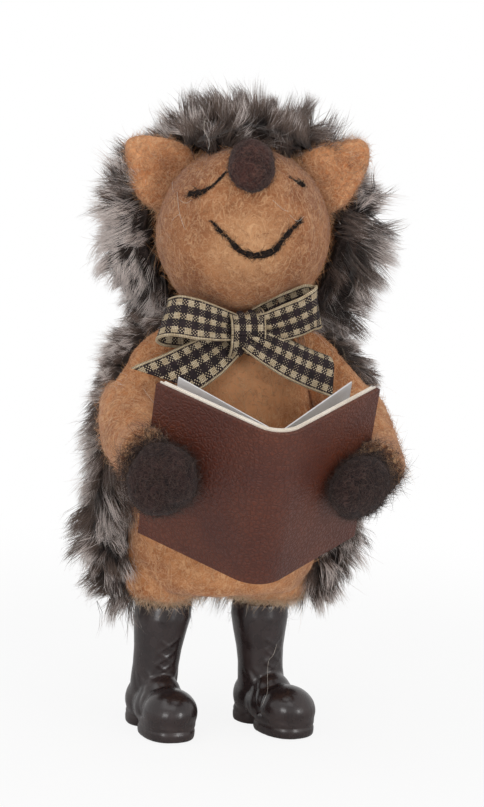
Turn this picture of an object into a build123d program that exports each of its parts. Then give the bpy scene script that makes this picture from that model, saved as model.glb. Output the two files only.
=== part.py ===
from build123d import *
import os
from math import cos, radians, sin, sqrt

# A wool-felt hedgehog that stands in moulded boots and reads a small book.
# Millimetres. +Z is up, the figure faces -Y and its left hand is on the +X side.
# The origin is on the floor, under the middle of the whole figure.

os.makedirs("parts", exist_ok=True)

# Boots
boot_tall = 31.0
boot_top_radius = 5.9
boot_ankle_radius = 4.9
ankle_rise = 14.0
toe_reach = 16.2
toe_half_wide = 5.8
toe_out = 10.2
toe_tall = 10.8
heel_reach = 8.2
heel_half_wide = 4.9
waist_half_wide = 4.5
welt_thick = 1.9
tread_thick = 1.6
arch_front = 3.2
arch_back = 2.8
upper_inset = 0.3
right_boot_out = 12.9
left_boot_out = 10.2
ankle_back = 4.2
right_boot_turn = 9.0
left_boot_turn = 20.0

# Sticks and wires inside
leg_pin_radius = 1.5
leg_pin_foot = 9.0
leg_pin_bury = 14.0
pin_clearance = 0.05
neck_dowel_radius = 1.6
neck_dowel_bury = 15.0
arm_wire_radius = 0.7
arm_wire_root = 5.0
arm_wire_bend = 3.0

# Thighs
hem_cover = 3.5
thigh_half_wide = 9.4
thigh_tall = 15.0
thigh_shares = ((0.00, 0.80), (0.14, 0.96), (0.40, 1.00), (0.70, 0.94), (1.00, 0.76))

# Body
body_tall = 61.0
body_half_wide = 21.3
body_half_deep = 16.0
felt_thick = 4.0
body_shares = (
    (0.00, 0.66, 0.60), (0.06, 0.88, 0.80), (0.20, 0.98, 0.93), (0.38, 1.00, 1.00),
    (0.58, 0.94, 0.95), (0.76, 0.79, 0.83), (0.90, 0.59, 0.68), (1.00, 0.42, 0.50),
)

# Head
head_radius = 18.2
head_sink = 3.6
head_forward = 3.5
head_turn = -11.0
snout_rise = 43.0
snout_long = 21.5
head_shares = (
    (-0.97, 0.24), (-0.84, 0.54), (-0.55, 0.835), (-0.20, 0.98), (0.05, 1.00),
    (0.29, 0.955), (0.52, 0.83), (0.71, 0.66), (0.86, 0.49), (0.96, 0.33), (1.00, 0.20),
)
ball_shares = (
    (-0.96, 0.28), (-0.80, 0.60), (-0.45, 0.893), (0.00, 1.00), (0.45, 0.893), (0.80, 0.60), (0.96, 0.28),
)

# Nose
nose_half_wide = 4.4
nose_half_tall = 6.2
nose_half_deep = 3.9
nose_stand = 0.9
nose_shares = ((-0.95, 0.30), (-0.60, 0.80), (0.00, 1.00), (0.55, 0.84), (0.88, 0.48), (0.98, 0.20))

# Ears, in the plane across the head
ear_tip_out = 25.4
ear_tip_rise = 19.4
ear_top_out = 11.0
ear_top_rise = 16.6
ear_low_out = 17.8
ear_low_rise = 4.4
ear_root = 4.0
ear_bow = 2.0
ear_thick = 4.4
ear_front = 3.2
ear_cup_deep = 2.6
ear_cup_taper = 18.0
ear_rim = 1.9
ear_tip_round = 3.0

# Stitches
thread_proud = 0.45
thread_wide = 0.95
eye_in = 5.6
eye_in_rise = 13.6
eye_sag_out = 9.0
eye_sag_rise = 9.6
eye_out = 12.0
eye_out_rise = 9.4
mouth_off = 2.0
mouth_half_wide = 8.2
mouth_corner_rise = 2.4
mouth_drop = 5.0
mouth_tick = 1.8

# Fur
hood_half_wide = 28.8
hood_half_deep = 22.0
hood_back = 5.5
hood_top_rise = 25.4
hood_shares = (
    (0.00, 0.74, 0.70), (0.12, 0.86, 0.83), (0.30, 0.98, 0.96), (0.48, 1.00, 1.00),
    (0.66, 0.92, 0.93), (0.82, 0.72, 0.76), (0.94, 0.44, 0.50), (1.00, 0.20, 0.24),
)
hood_edge_front = 0.0
hood_edge_rise = 11.0
fringe_front = 15.5
fringe_rise = 20.0
coat_low = 26.6
coat_half_wide = 30.2
coat_half_deep = 21.0
coat_back = 4.0
coat_front = 2.0
leg_room_half_wide = 22.5
leg_room_half_deep = 13.0
waist_rise = 86.0
coat_shares = (
    (0.00, 0.72, 0.66), (0.10, 0.90, 0.88), (0.30, 1.00, 1.00), (0.52, 0.98, 1.00),
    (0.74, 0.91, 0.95), (0.90, 0.80, 0.86), (1.00, 0.71, 0.76),
)

# Arms
arm_radius = 6.9
arm_stand = 2.7
shoulder_drop = 6.4
shoulder_front = 2.0
arm_shares = (
    (0.36, 0.00, 0.00, 0.74), (0.64, 0.07, 0.15, 0.95), (0.89, 0.20, 0.48, 1.00),
    (1.00, 0.42, 0.80, 0.98), (1.01, 0.70, 0.98, 0.90),
)
wrist_radius = 5.4
wrist_past_paw = 5.0
wrist_above_paw = 2.0
wrist_stand = 3.4

# Paws, placed on the book's boards
paw_half_wide = 6.9
paw_half_tall = 6.4
paw_half_thick = 5.0
paw_stand = 4.3
right_paw_along = 22.4
right_paw_up = 1.8
left_paw_along = 22.0
left_paw_up = 0.0
paw_shares = (
    (-0.96, 0.22), (-0.78, 0.60), (-0.40, 0.91), (0.05, 1.00),
    (0.45, 0.90), (0.80, 0.58), (0.97, 0.20),
)

# Book
book_tall = 36.6
board_long = 29.6
cover_thick = 0.9
spine_round = 7.4
spine_stand = 25.7
book_rise = 54.4
book_aside = -2.0
book_tilt = 25.0
book_turn = -4.0
left_board_open = 39.0
right_board_open = 41.0
endpaper_thick = 0.25
endpaper_margin = 0.4
sheet_thick = 0.3
sheet_margin = 1.2
page_thick = 0.3
page_long = 25.2
page_margin = 1.0
page_start = 0.5
gutter_stand = 0.7
left_page_lift = 6.6
right_page_lift = 7.0
left_page_swing = 9.0
right_page_swing = 3.0
page_room = 0.6

# Bow
ribbon_thick = 0.5
ribbon_wide = 7.6
knot_half_wide = 3.9
knot_half_tall = 4.4
knot_half_deep = 3.2
knot_out = -3.1
knot_rise = 87.4
knot_front = 15.8
loop_long = 15.0
loop_half_deep = 2.7
loop_end = 1.6
loop_belly_share = 0.55
left_loop_lift = 16.0
right_loop_lift = 3.0
left_tail_long = 19.0
right_tail_long = 21.5
tail_slant = 2.6
left_tail_drop = 25.0
right_tail_drop = 25.0
tail_front = 1.0
tail_gather_share = 0.75
knot_shares = ((-0.95, 0.45), (-0.60, 0.86), (0.00, 1.00), (0.60, 0.86), (0.95, 0.45))

overrun = 40.0
diagonal_share = sqrt(0.5)

# Heights and places that follow from the sizes above
body_low = boot_tall + 0.4 * pin_clearance
body_high = body_low + body_tall
hem_rise = boot_tall - hem_cover
head_rise = body_high + head_radius - head_sink
spine_front = body_half_deep + spine_stand
spine_half_angle = radians(90 - (left_board_open + right_board_open) / 2)
spine_cut = spine_round * (1 / sin(spine_half_angle) - 1)
front_reach = spine_front + book_tall / 2 * sin(radians(book_tilt)) - spine_cut * cos(radians(book_tilt))
back_reach = coat_back + coat_half_deep
axis_y = (front_reach - back_reach) / 2


def spot(aside, back, rise):
    """A point beside, behind and above the middle of the figure's stance."""
    return (aside, axis_y + back, rise)


def egg(base, shares, long, half_wide, half_deep, long_below=None):
    """A stuffed form: ovals stacked along the plane's normal, each made of four arcs."""
    with BuildPart() as form:
        for rise_share, wide_share, deep_share in shares:
            across, through = half_wide * wide_share, half_deep * deep_share
            mid_across, mid_through = across * diagonal_share, through * diagonal_share
            reach = long_below if long_below and rise_share < 0 else long
            with BuildSketch(base.offset(reach * rise_share)):
                with BuildLine():
                    ThreePointArc((across, 0), (mid_across, mid_through), (0, through))
                    ThreePointArc((0, through), (-mid_across, mid_through), (-across, 0))
                    ThreePointArc((-across, 0), (-mid_across, -mid_through), (0, -through))
                    ThreePointArc((0, -through), (mid_across, -mid_through), (across, 0))
                make_face()
        loft()
    return form.part


def round_egg(base, shares, long, half_wide, half_deep, long_below=None):
    """An egg whose width and depth taper alike."""
    both = [(rise, wide, wide) for rise, wide in shares]
    return egg(base, both, long, half_wide, half_deep, long_below)


def limb(points, radii):
    """A stuffed limb: a round section at each point, square to the way through the points."""
    last = len(points) - 1
    with BuildPart() as form:
        for index, (point, radius) in enumerate(zip(points, radii)):
            before, after = points[max(index - 1, 0)], points[min(index + 1, last)]
            along = (Vector(*after) - Vector(*before)).normalized()
            aside = along.cross(Vector(-1, 0, 1)).normalized()
            reach = radius * diagonal_share
            with BuildSketch(Plane(origin=point, x_dir=aside, z_dir=along)):
                with BuildLine():
                    ThreePointArc((radius, 0), (reach, reach), (0, radius))
                    ThreePointArc((0, radius), (-reach, reach), (-radius, 0))
                    ThreePointArc((-radius, 0), (-reach, -reach), (0, -radius))
                    ThreePointArc((0, -radius), (reach, -reach), (radius, 0))
                make_face()
        loft()
    return form.part


def rod(start, end, radius):
    """A straight round stick between two points."""
    run = Vector(*end) - Vector(*start)
    with BuildPart() as stick:
        with BuildSketch(Plane(origin=start, z_dir=run.normalized())):
            Circle(radius)
        extrude(amount=run.length)
    return stick.part


# Planes and places that the pieces share

head_middle = Vector(*spot(0, -head_forward, head_rise))
head_right_way = Vector(cos(radians(head_turn)), sin(radians(head_turn)), 0)
head_front_way = Vector(sin(radians(head_turn)), -cos(radians(head_turn)), 0)
head_front = Plane(origin=head_middle, x_dir=head_right_way, z_dir=head_front_way)
snout_way = head_front_way * cos(radians(snout_rise)) + Vector(0, 0, 1) * sin(radians(snout_rise))
snout_plane = Plane(origin=head_middle, x_dir=head_right_way, z_dir=snout_way)

book_plane = Plane(
    origin=spot(book_aside, -spine_front, book_rise),
    x_dir=(cos(radians(book_turn)), sin(radians(book_turn)), 0),
    z_dir=(
        sin(radians(book_tilt)) * sin(radians(book_turn)),
        -sin(radians(book_tilt)) * cos(radians(book_turn)),
        cos(radians(book_tilt)),
    ),
)


def board_way(side):
    """The way out along a board, in the book's own plane: side 1 is the figure's left."""
    opened = radians(left_board_open if side > 0 else right_board_open)
    return Vector(side * cos(opened), sin(opened))


def board_inward(side):
    """Square to a board, toward the pages."""
    opened = radians(left_board_open if side > 0 else right_board_open)
    return Vector(-side * sin(opened), cos(opened))


# The fold, per unit of depth inside the cover's outer face
fold_swing = radians(left_board_open + right_board_open) / 2
fold_lean = radians(left_board_open - right_board_open) / 2
fold_way = Vector(-sin(fold_lean), cos(fold_lean)) * (1 / cos(fold_swing))


def bent_sheet(depth, thick, reach, tall):
    """A sheet bent round the spine, its outer face a given depth inside the cover's."""
    deeper = depth + thick
    with BuildPart() as sheet:
        with BuildSketch(book_plane.offset(-tall / 2)):
            with BuildLine():
                out_left = board_inward(1) * depth + board_way(1) * reach
                out_right = board_inward(-1) * depth + board_way(-1) * reach
                in_left = board_inward(1) * deeper + board_way(1) * reach
                in_right = board_inward(-1) * deeper + board_way(-1) * reach
                FilletPolyline(out_left, fold_way * depth, out_right, radius=spine_round - depth)
                FilletPolyline(in_right, fold_way * deeper, in_left, radius=spine_round - deeper)
                Line(out_right, in_right)
                Line(in_left, out_left)
            make_face()
        extrude(amount=tall)
    return sheet.part


# Boots: one moulding each, with a socket for the leg's stick

toe_shares = (
    (0.00, 0.94, 0.94), (0.22, 1.00, 1.00), (0.50, 0.95, 0.95),
    (0.76, 0.74, 0.74), (0.93, 0.42, 0.42), (1.00, 0.16, 0.16),
)
flare_shares = ((0.00, 0.35), (0.22, 0.10), (0.45, 0.00), (0.72, 0.50), (1.00, 1.00))
upper_low = tread_thick + welt_thick


def boot(aside, turn):
    """A boot with its ankle over a point, its toe turned toward +X by an angle."""
    toe_way = Vector(sin(radians(turn)), -cos(radians(turn)), 0)
    side_way = Vector(cos(radians(turn)), sin(radians(turn)), 0)
    floor = Plane(origin=spot(aside, ankle_back, 0), x_dir=side_way, z_dir=(0, 0, 1))
    toe_middle = floor.origin + toe_way * toe_out
    toe_long = toe_reach - toe_out
    shaft_tall = boot_tall - upper_low
    upper_wide = toe_half_wide - upper_inset
    flare = boot_top_radius / boot_ankle_radius - 1
    shaft = [(rise, 1 + flare * wide) for rise, wide in flare_shares]
    with BuildPart() as moulding:
        with BuildSketch(floor):
            with BuildLine():
                reach = toe_half_wide * diagonal_share
                front = -toe_out - toe_long * diagonal_share
                heel = heel_half_wide * diagonal_share
                heel_side = heel_reach - heel_half_wide
                ThreePointArc((toe_half_wide, -toe_out), (reach, front), (0, -toe_reach))
                ThreePointArc((0, -toe_reach), (-reach, front), (-toe_half_wide, -toe_out))
                ThreePointArc(
                    (-toe_half_wide, -toe_out), (-waist_half_wide, -heel_side), (-heel_half_wide, heel_side)
                )
                ThreePointArc((-heel_half_wide, heel_side), (-heel, heel_side + heel), (0, heel_reach))
                ThreePointArc((0, heel_reach), (heel, heel_side + heel), (heel_half_wide, heel_side))
                ThreePointArc(
                    (heel_half_wide, heel_side), (waist_half_wide, -heel_side), (toe_half_wide, -toe_out)
                )
            make_face()
        extrude(amount=upper_low)
        with BuildSketch(floor):
            with BuildLine():
                Polyline(
                    (-overrun, -arch_front), (overrun, -arch_front), (overrun, arch_back),
                    (-overrun, arch_back), close=True,
                )
            make_face()
        extrude(amount=tread_thick, mode=Mode.SUBTRACT)
        toe_base = Plane(origin=toe_middle, x_dir=side_way, z_dir=(0, 0, 1)).offset(upper_low)
        add(egg(toe_base, toe_shares, toe_tall - upper_low, upper_wide, toe_long - upper_inset))
        instep = Plane(origin=toe_middle + Vector(0, 0, upper_low), x_dir=side_way, z_dir=-toe_way)
        for along, half, tall in (
            (0, upper_wide - upper_inset, toe_tall - upper_low - upper_inset),
            (toe_out / 2, boot_ankle_radius, ankle_rise - upper_low - upper_inset),
            (toe_out, boot_ankle_radius, ankle_rise - upper_low),
        ):
            with BuildSketch(instep.offset(along)):
                with BuildLine():
                    shoulder = tall / 2
                    ThreePointArc((half, -shoulder), (half * diagonal_share, -tall + upper_inset), (0, -tall))
                    ThreePointArc((0, -tall), (-half * diagonal_share, -tall + upper_inset), (-half, -shoulder))
                    Line((-half, -shoulder), (-half, 0))
                    Line((-half, 0), (half, 0))
                    Line((half, 0), (half, -shoulder))
                make_face()
        loft()
        add(round_egg(floor.offset(upper_low), shaft, shaft_tall, boot_ankle_radius, boot_ankle_radius))
    return moulding.part


right_boot_form = boot(-right_boot_out, right_boot_turn)
left_boot_form = boot(left_boot_out, left_boot_turn)


def leg_pin(aside, extra):
    """The stick from a boot's socket up into the body's core."""
    foot = spot(aside, ankle_back, leg_pin_foot)
    top = spot(aside, ankle_back, body_low + leg_pin_bury)
    return rod(foot, top, leg_pin_radius + extra)


with BuildPart() as right_leg_pin:
    add(leg_pin(-right_boot_out, 0))

with BuildPart() as left_leg_pin:
    add(leg_pin(left_boot_out, 0))

with BuildPart() as right_boot:
    add(right_boot_form)
    add(leg_pin(-right_boot_out, pin_clearance), mode=Mode.SUBTRACT)

with BuildPart() as left_boot:
    add(left_boot_form)
    add(leg_pin(left_boot_out, pin_clearance), mode=Mode.SUBTRACT)


right_leg_pin.part.label = "right_leg_pin"
left_leg_pin.part.label = "left_leg_pin"
right_boot.part.label = "right_boot"
left_boot.part.label = "left_boot"

# Forms that cut their neighbours, and the forms of the cores

upright = Plane(origin=spot(0, 0, body_low), x_dir=(1, 0, 0), z_dir=(0, 0, 1))
body_form = egg(upright, body_shares, body_tall, body_half_wide, body_half_deep)
core_half_wide = body_half_wide - felt_thick
core_half_deep = body_half_deep - felt_thick
core_tall = body_tall - 2 * felt_thick
body_core_form = egg(upright.offset(felt_thick), body_shares, core_tall, core_half_wide, core_half_deep)
head_form = round_egg(snout_plane, head_shares, snout_long, head_radius, head_radius, head_radius)
core_radius = head_radius - felt_thick
head_core_form = round_egg(snout_plane, ball_shares, core_radius, core_radius, core_radius)

neck_foot = spot(0, 0, body_high - neck_dowel_bury)
neck_top = (head_middle.X, head_middle.Y, head_middle.Z)


def thigh_form(aside):
    """A felt stump over the top of a boot's shaft."""
    hem = Plane(origin=spot(aside, ankle_back, hem_rise), x_dir=(1, 0, 0), z_dir=(0, 0, 1))
    return round_egg(hem, thigh_shares, thigh_tall, thigh_half_wide, thigh_half_wide)


right_thigh_form = thigh_form(-right_boot_out)
left_thigh_form = thigh_form(left_boot_out)


# Book: the cover, its lining, an outer folded sheet and two leaves that turn

sheet_depth = cover_thick + endpaper_thick
fold_depth = sheet_depth + sheet_thick
fold_round = (spine_round - fold_depth) * (1 / cos(fold_swing) - 1)
gutter = fold_way * fold_depth + fold_way.normalized() * (fold_round + gutter_stand)
page_tall = book_tall - 2 * page_margin


def book_spot(side, along, inside, up):
    """A point by a board: along it, inside its outer face and up from the book's middle."""
    flat = board_way(side) * along + board_inward(side) * inside
    return book_plane.from_local_coords(flat + Vector(0, 0, up))


def page(side, lift):
    """A leaf that stands off its board by an angle, with its root beside the fold."""
    opened = radians(lift + (left_board_open if side > 0 else right_board_open))
    way = Vector(side * cos(opened), sin(opened))
    across = Vector(-sin(opened), side * cos(opened)) * (page_thick / 2)
    root, tip = gutter + way * page_start, gutter + way * (page_start + page_long)
    with BuildPart() as leaf:
        with BuildSketch(book_plane.offset(-page_tall / 2)):
            with BuildLine():
                Polyline(root - across, tip - across, tip + across, root + across, close=True)
            make_face()
        extrude(amount=page_tall)
    return leaf.part


with BuildPart() as book_cover:
    add(bent_sheet(0, cover_thick, board_long, book_tall))
book_cover.part.label = "book_cover"

with BuildPart() as book_endpaper:
    endpaper_tall = book_tall - 2 * endpaper_margin
    add(bent_sheet(cover_thick, endpaper_thick, board_long - endpaper_margin, endpaper_tall))
book_endpaper.part.label = "book_endpaper"

with BuildPart() as book_sheet:
    add(bent_sheet(sheet_depth, sheet_thick, board_long - sheet_margin, book_tall - 2 * sheet_margin))
book_sheet.part.label = "book_sheet"

with BuildPart() as left_page:
    add(page(1, left_page_lift))
left_page.part.label = "left_page"

with BuildPart() as right_page:
    add(page(-1, right_page_lift))
right_page.part.label = "right_page"

# The room that the leaves turn in, which the sleeves and paws leave free
with BuildPart() as page_space:
    page_reach = page_start + page_long + page_room
    room_reach = page_reach + max(gutter.dot(board_way(1)), gutter.dot(board_way(-1)))
    widest_lift = max(left_page_lift + left_page_swing, right_page_lift + right_page_swing)
    page_sweep = gutter.length + page_reach * sin(radians(widest_lift))
    room_tall = page_tall + 2 * page_room
    with BuildSketch(book_plane.offset(-room_tall / 2)):
        with BuildLine():
            left_out, right_out = board_way(1) * room_reach, board_way(-1) * room_reach
            left_in = left_out + board_inward(1) * page_sweep
            right_in = right_out + board_inward(-1) * page_sweep
            Polyline((0, 0), left_out, left_in, right_in, right_out, close=True)
        make_face()
    extrude(amount=room_tall)

# Arms, paws and the wires in them


def paw_plane(side, along, up):
    """The plane through a paw's middle, facing out from the board that it holds."""
    middle = book_spot(side, along, -paw_stand, up)
    out = (middle - book_spot(side, along, 0, up)).normalized()
    return Plane(origin=middle, x_dir=(middle - book_spot(side, 0, -paw_stand, up)).normalized(), z_dir=out)


def arm_points(side, along, up):
    """The middles of the sleeve's round sections, from inside the shoulder to the wrist."""
    wrist = book_spot(side, along + wrist_past_paw, -wrist_stand, up + wrist_above_paw)
    shoulder_rise = body_high - shoulder_drop
    forward = -shoulder_front - (wrist.Y - axis_y)
    drop = shoulder_rise - wrist.Z
    points = []
    for out_share, front_share, drop_share, _ in arm_shares:
        aside = side * (body_half_wide + arm_stand) * out_share
        points.append(spot(aside, -shoulder_front - forward * front_share, shoulder_rise - drop * drop_share))
    return points + [(wrist.X, wrist.Y, wrist.Z)]


def arm_form(side, along, up):
    """The whole sleeve, before its neighbours cut it."""
    radii = [arm_radius * share for _, _, _, share in arm_shares] + [wrist_radius]
    return limb(arm_points(side, along, up), radii)


def arm_wire_form(side, along, up):
    """A soft wire from the body's core through the sleeve into the paw."""
    points = arm_points(side, along, up)
    middle = paw_plane(side, along, up).origin
    shoulder = Vector(*points[0])
    root = Vector(side * arm_wire_root, shoulder.Y, shoulder.Z)
    with BuildPart() as wire:
        with BuildLine():
            route = FilletPolyline(root, *points[1:-2:2], points[-2], points[-1], middle, radius=arm_wire_bend)
        with BuildSketch(Plane(origin=route @ 0, z_dir=route % 0)):
            Circle(arm_wire_radius)
        sweep(path=route)
    return wire.part


def paw_form(side, along, up):
    """A round felt mitt."""
    return round_egg(paw_plane(side, along, up), paw_shares, paw_half_thick, paw_half_wide, paw_half_tall)


right_arm_form = arm_form(-1, right_paw_along, right_paw_up)
left_arm_form = arm_form(1, left_paw_along, left_paw_up)
right_wire_form = arm_wire_form(-1, right_paw_along, right_paw_up)
left_wire_form = arm_wire_form(1, left_paw_along, left_paw_up)

with BuildPart() as right_arm_wire:
    add(right_wire_form)
right_arm_wire.part.label = "right_arm_wire"

with BuildPart() as left_arm_wire:
    add(left_wire_form)
left_arm_wire.part.label = "left_arm_wire"

with BuildPart() as right_arm:
    add(right_arm_form)
    add([body_form, page_space.part, right_wire_form], mode=Mode.SUBTRACT)
    add([book_cover.part, book_endpaper.part, book_sheet.part], mode=Mode.SUBTRACT)
right_arm.part.label = "right_arm"

with BuildPart() as left_arm:
    add(left_arm_form)
    add([body_form, page_space.part, left_wire_form], mode=Mode.SUBTRACT)
    add([book_cover.part, book_endpaper.part, book_sheet.part], mode=Mode.SUBTRACT)
left_arm.part.label = "left_arm"

with BuildPart() as right_paw:
    add(paw_form(-1, right_paw_along, right_paw_up))
    add([right_arm_form, page_space.part, right_wire_form], mode=Mode.SUBTRACT)
    add([book_cover.part, book_endpaper.part, book_sheet.part], mode=Mode.SUBTRACT)
right_paw.part.label = "right_paw"

with BuildPart() as left_paw:
    add(paw_form(1, left_paw_along, left_paw_up))
    add([left_arm_form, page_space.part, left_wire_form], mode=Mode.SUBTRACT)
    add([book_cover.part, book_endpaper.part, book_sheet.part], mode=Mode.SUBTRACT)
left_paw.part.label = "left_paw"

# Body: the foam core and the felt round it, with the thighs below

with BuildPart() as neck_dowel:
    add(rod(neck_foot, neck_top, neck_dowel_radius))
neck_dowel.part.label = "neck_dowel"

with BuildPart() as body_core:
    add(body_core_form)
    add([left_leg_pin.part, right_leg_pin.part, neck_dowel.part], mode=Mode.SUBTRACT)
    add([left_wire_form, right_wire_form], mode=Mode.SUBTRACT)
body_core.part.label = "body_core"

with BuildPart() as body_felt:
    add(body_form)
    add(body_core_form, mode=Mode.SUBTRACT)
    add([left_leg_pin.part, right_leg_pin.part, neck_dowel.part], mode=Mode.SUBTRACT)
    add([left_wire_form, right_wire_form], mode=Mode.SUBTRACT)
body_felt.part.label = "body_felt"

with BuildPart() as right_thigh:
    add(right_thigh_form)
    add([body_form, right_boot_form, right_leg_pin.part], mode=Mode.SUBTRACT)
right_thigh.part.label = "right_thigh"

with BuildPart() as left_thigh:
    add(left_thigh_form)
    add([body_form, left_boot_form, left_leg_pin.part], mode=Mode.SUBTRACT)
left_thigh.part.label = "left_thigh"

# Head, with its ears, nose and stitches

with BuildPart() as head_core:
    add(head_core_form)
    add(neck_dowel.part, mode=Mode.SUBTRACT)
head_core.part.label = "head_core"

with BuildPart() as head_felt:
    add(head_form)
    add([body_form, head_core_form, neck_dowel.part], mode=Mode.SUBTRACT)
head_felt.part.label = "head_felt"


def ear_outline(side):
    """The corners of an ear: its tip, the top of its root, the root itself and the foot of its root."""
    tip = (side * ear_tip_out, ear_tip_rise)
    top = (side * ear_top_out, ear_top_rise)
    low = (side * ear_low_out, ear_low_rise)
    root = (side * (ear_top_out + ear_low_out - 2 * ear_root) / 2, (ear_top_rise + ear_low_rise) / 2 - ear_root)
    high = (side * (ear_tip_out + ear_top_out) / 2, (ear_tip_rise + ear_top_rise) / 2 + ear_bow)
    outer = (side * ((ear_tip_out + ear_low_out) / 2 + ear_bow), (ear_tip_rise + ear_low_rise) / 2)
    return tip, top, low, root, high, outer


def ear(side):
    """A pointed ear of thick felt, hollowed in front."""
    tip, top, low, root, high, outer = ear_outline(side)
    with BuildPart() as form:
        with BuildSketch(head_front.offset(ear_front)) as flat:
            with BuildLine():
                ThreePointArc(low, outer, tip)
                ThreePointArc(tip, high, top)
                Line(top, root)
                Line(root, low)
            make_face()
            fillet(flat.vertices().sort_by(Axis.X)[-1 if side > 0 else 0], radius=ear_tip_round)
        extrude(amount=-ear_thick)
        with BuildSketch(head_front.offset(ear_front)) as cup:
            add(flat.sketch_local)
            offset(amount=-ear_rim, mode=Mode.REPLACE)
        extrude(amount=-ear_cup_deep, taper=ear_cup_taper, mode=Mode.SUBTRACT)
        add(head_form, mode=Mode.SUBTRACT)
    return form.part


with BuildPart() as right_ear:
    add(ear(-1))
right_ear.part.label = "right_ear"

with BuildPart() as left_ear:
    add(ear(1))
left_ear.part.label = "left_ear"

with BuildPart() as nose:
    nose_plane = snout_plane.offset(snout_long + nose_stand)
    add(round_egg(nose_plane, nose_shares, nose_half_deep, nose_half_wide, nose_half_tall))
    add(head_form, mode=Mode.SUBTRACT)
nose.part.label = "nose"

stitch_radius = head_radius + thread_proud
stitch_form = round_egg(snout_plane, head_shares, snout_long, stitch_radius, stitch_radius, stitch_radius)


def eye_stitch(side):
    """A closed eye: one curve of thread on the felt."""
    with BuildPart() as stitch:
        with BuildSketch(head_front):
            with BuildLine():
                ThreePointArc(
                    (side * eye_in, eye_in_rise), (side * eye_sag_out, eye_sag_rise), (side * eye_out, eye_out_rise)
                )
            trace(line_width=thread_wide)
        extrude(amount=overrun)
        add(stitch_form, mode=Mode.INTERSECT)
        add([head_form, nose.part], mode=Mode.SUBTRACT)
    return stitch.part


with BuildPart() as right_eye_stitch:
    add(eye_stitch(-1))
right_eye_stitch.part.label = "right_eye_stitch"

with BuildPart() as left_eye_stitch:
    add(eye_stitch(1))
left_eye_stitch.part.label = "left_eye_stitch"

with BuildPart() as mouth_stitch:
    with BuildSketch(head_front):
        for side in (-1, 1):
            corner = mouth_off + side * mouth_half_wide
            with BuildLine():
                Line(
                    (corner + side * mouth_tick, mouth_corner_rise + mouth_tick / 2),
                    (corner - side * mouth_tick, mouth_corner_rise - mouth_tick / 2),
                )
            trace(line_width=thread_wide)
        with BuildLine():
            ThreePointArc(
                (mouth_off - mouth_half_wide, mouth_corner_rise),
                (mouth_off, mouth_corner_rise - mouth_drop),
                (mouth_off + mouth_half_wide, mouth_corner_rise),
            )
        trace(line_width=thread_wide)
    extrude(amount=overrun)
    add(stitch_form, mode=Mode.INTERSECT)
    add(head_form, mode=Mode.SUBTRACT)
mouth_stitch.part.label = "mouth_stitch"

# Fur: a hood round the head and a coat down the back

with BuildPart() as fur_hood:
    hood_foot = Vector(head_middle.X, head_middle.Y, waist_rise) - head_front_way * hood_back
    hood_plane = Plane(origin=hood_foot, x_dir=head_right_way, z_dir=(0, 0, 1))
    hood_tall = head_rise + hood_top_rise - waist_rise
    add(egg(hood_plane, hood_shares, hood_tall, hood_half_wide, hood_half_deep))
    with BuildSketch(Plane(origin=head_middle, x_dir=head_front_way, z_dir=-head_right_way)):
        with BuildLine():
            Polyline(
                (hood_edge_front, -overrun), (overrun, -overrun), (overrun, fringe_rise),
                (fringe_front, fringe_rise), (hood_edge_front, hood_edge_rise), close=True,
            )
        make_face()
    extrude(amount=overrun, both=True, mode=Mode.SUBTRACT)
    with BuildSketch(Plane(origin=head_middle, x_dir=head_right_way, z_dir=(0, 0, 1))):
        with BuildLine():
            half, bend = ear_top_out * diagonal_share, fringe_front * diagonal_share
            Line((-overrun, -hood_edge_front), (-ear_top_out, -hood_edge_front))
            ThreePointArc((-ear_top_out, -hood_edge_front), (-half, -bend), (0, -fringe_front))
            ThreePointArc((0, -fringe_front), (half, -bend), (ear_top_out, -hood_edge_front))
            Line((ear_top_out, -hood_edge_front), (overrun, -hood_edge_front))
            Line((overrun, -hood_edge_front), (overrun, -overrun))
            Line((overrun, -overrun), (-overrun, -overrun))
            Line((-overrun, -overrun), (-overrun, -hood_edge_front))
        make_face()
    extrude(amount=overrun, both=True, mode=Mode.SUBTRACT)
    add([head_form, body_form, left_ear.part, right_ear.part, nose.part], mode=Mode.SUBTRACT)
    add([left_arm_form, right_arm_form], mode=Mode.SUBTRACT)
fur_hood.part.label = "fur_hood"

with BuildPart() as fur_coat:
    coat_plane = Plane(origin=spot(0, coat_back, coat_low), x_dir=(1, 0, 0), z_dir=(0, 0, 1))
    add(egg(coat_plane, coat_shares, waist_rise - coat_low, coat_half_wide, coat_half_deep))
    with BuildSketch(Plane(origin=spot(0, 0, 0), x_dir=(0, 1, 0), z_dir=(1, 0, 0))):
        with BuildLine():
            Polyline(
                (-coat_front, 0), (-coat_front, waist_rise + overrun), (-overrun, waist_rise + overrun),
                (-overrun, 0), close=True,
            )
        make_face()
    extrude(amount=overrun, both=True, mode=Mode.SUBTRACT)
    with BuildSketch(Plane(origin=spot(0, coat_back, 0), x_dir=(1, 0, 0), z_dir=(0, 0, 1))):
        Ellipse(leg_room_half_wide, leg_room_half_deep)
    extrude(amount=body_low + felt_thick, mode=Mode.SUBTRACT)
    add([body_form, left_thigh_form, right_thigh_form], mode=Mode.SUBTRACT)
    add([left_arm_form, right_arm_form], mode=Mode.SUBTRACT)
fur_coat.part.label = "fur_coat"

# Bow: a knot, two loops and two tails of one ribbon

knot_plane = Plane(origin=spot(knot_out, -knot_front, knot_rise), x_dir=(1, 0, 0), z_dir=(0, -1, 0))
knot_form = round_egg(knot_plane, knot_shares, knot_half_deep, knot_half_wide, knot_half_tall)

with BuildPart() as bow_knot:
    add(knot_form)
    add([head_form, body_form], mode=Mode.SUBTRACT)
bow_knot.part.label = "bow_knot"


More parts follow.
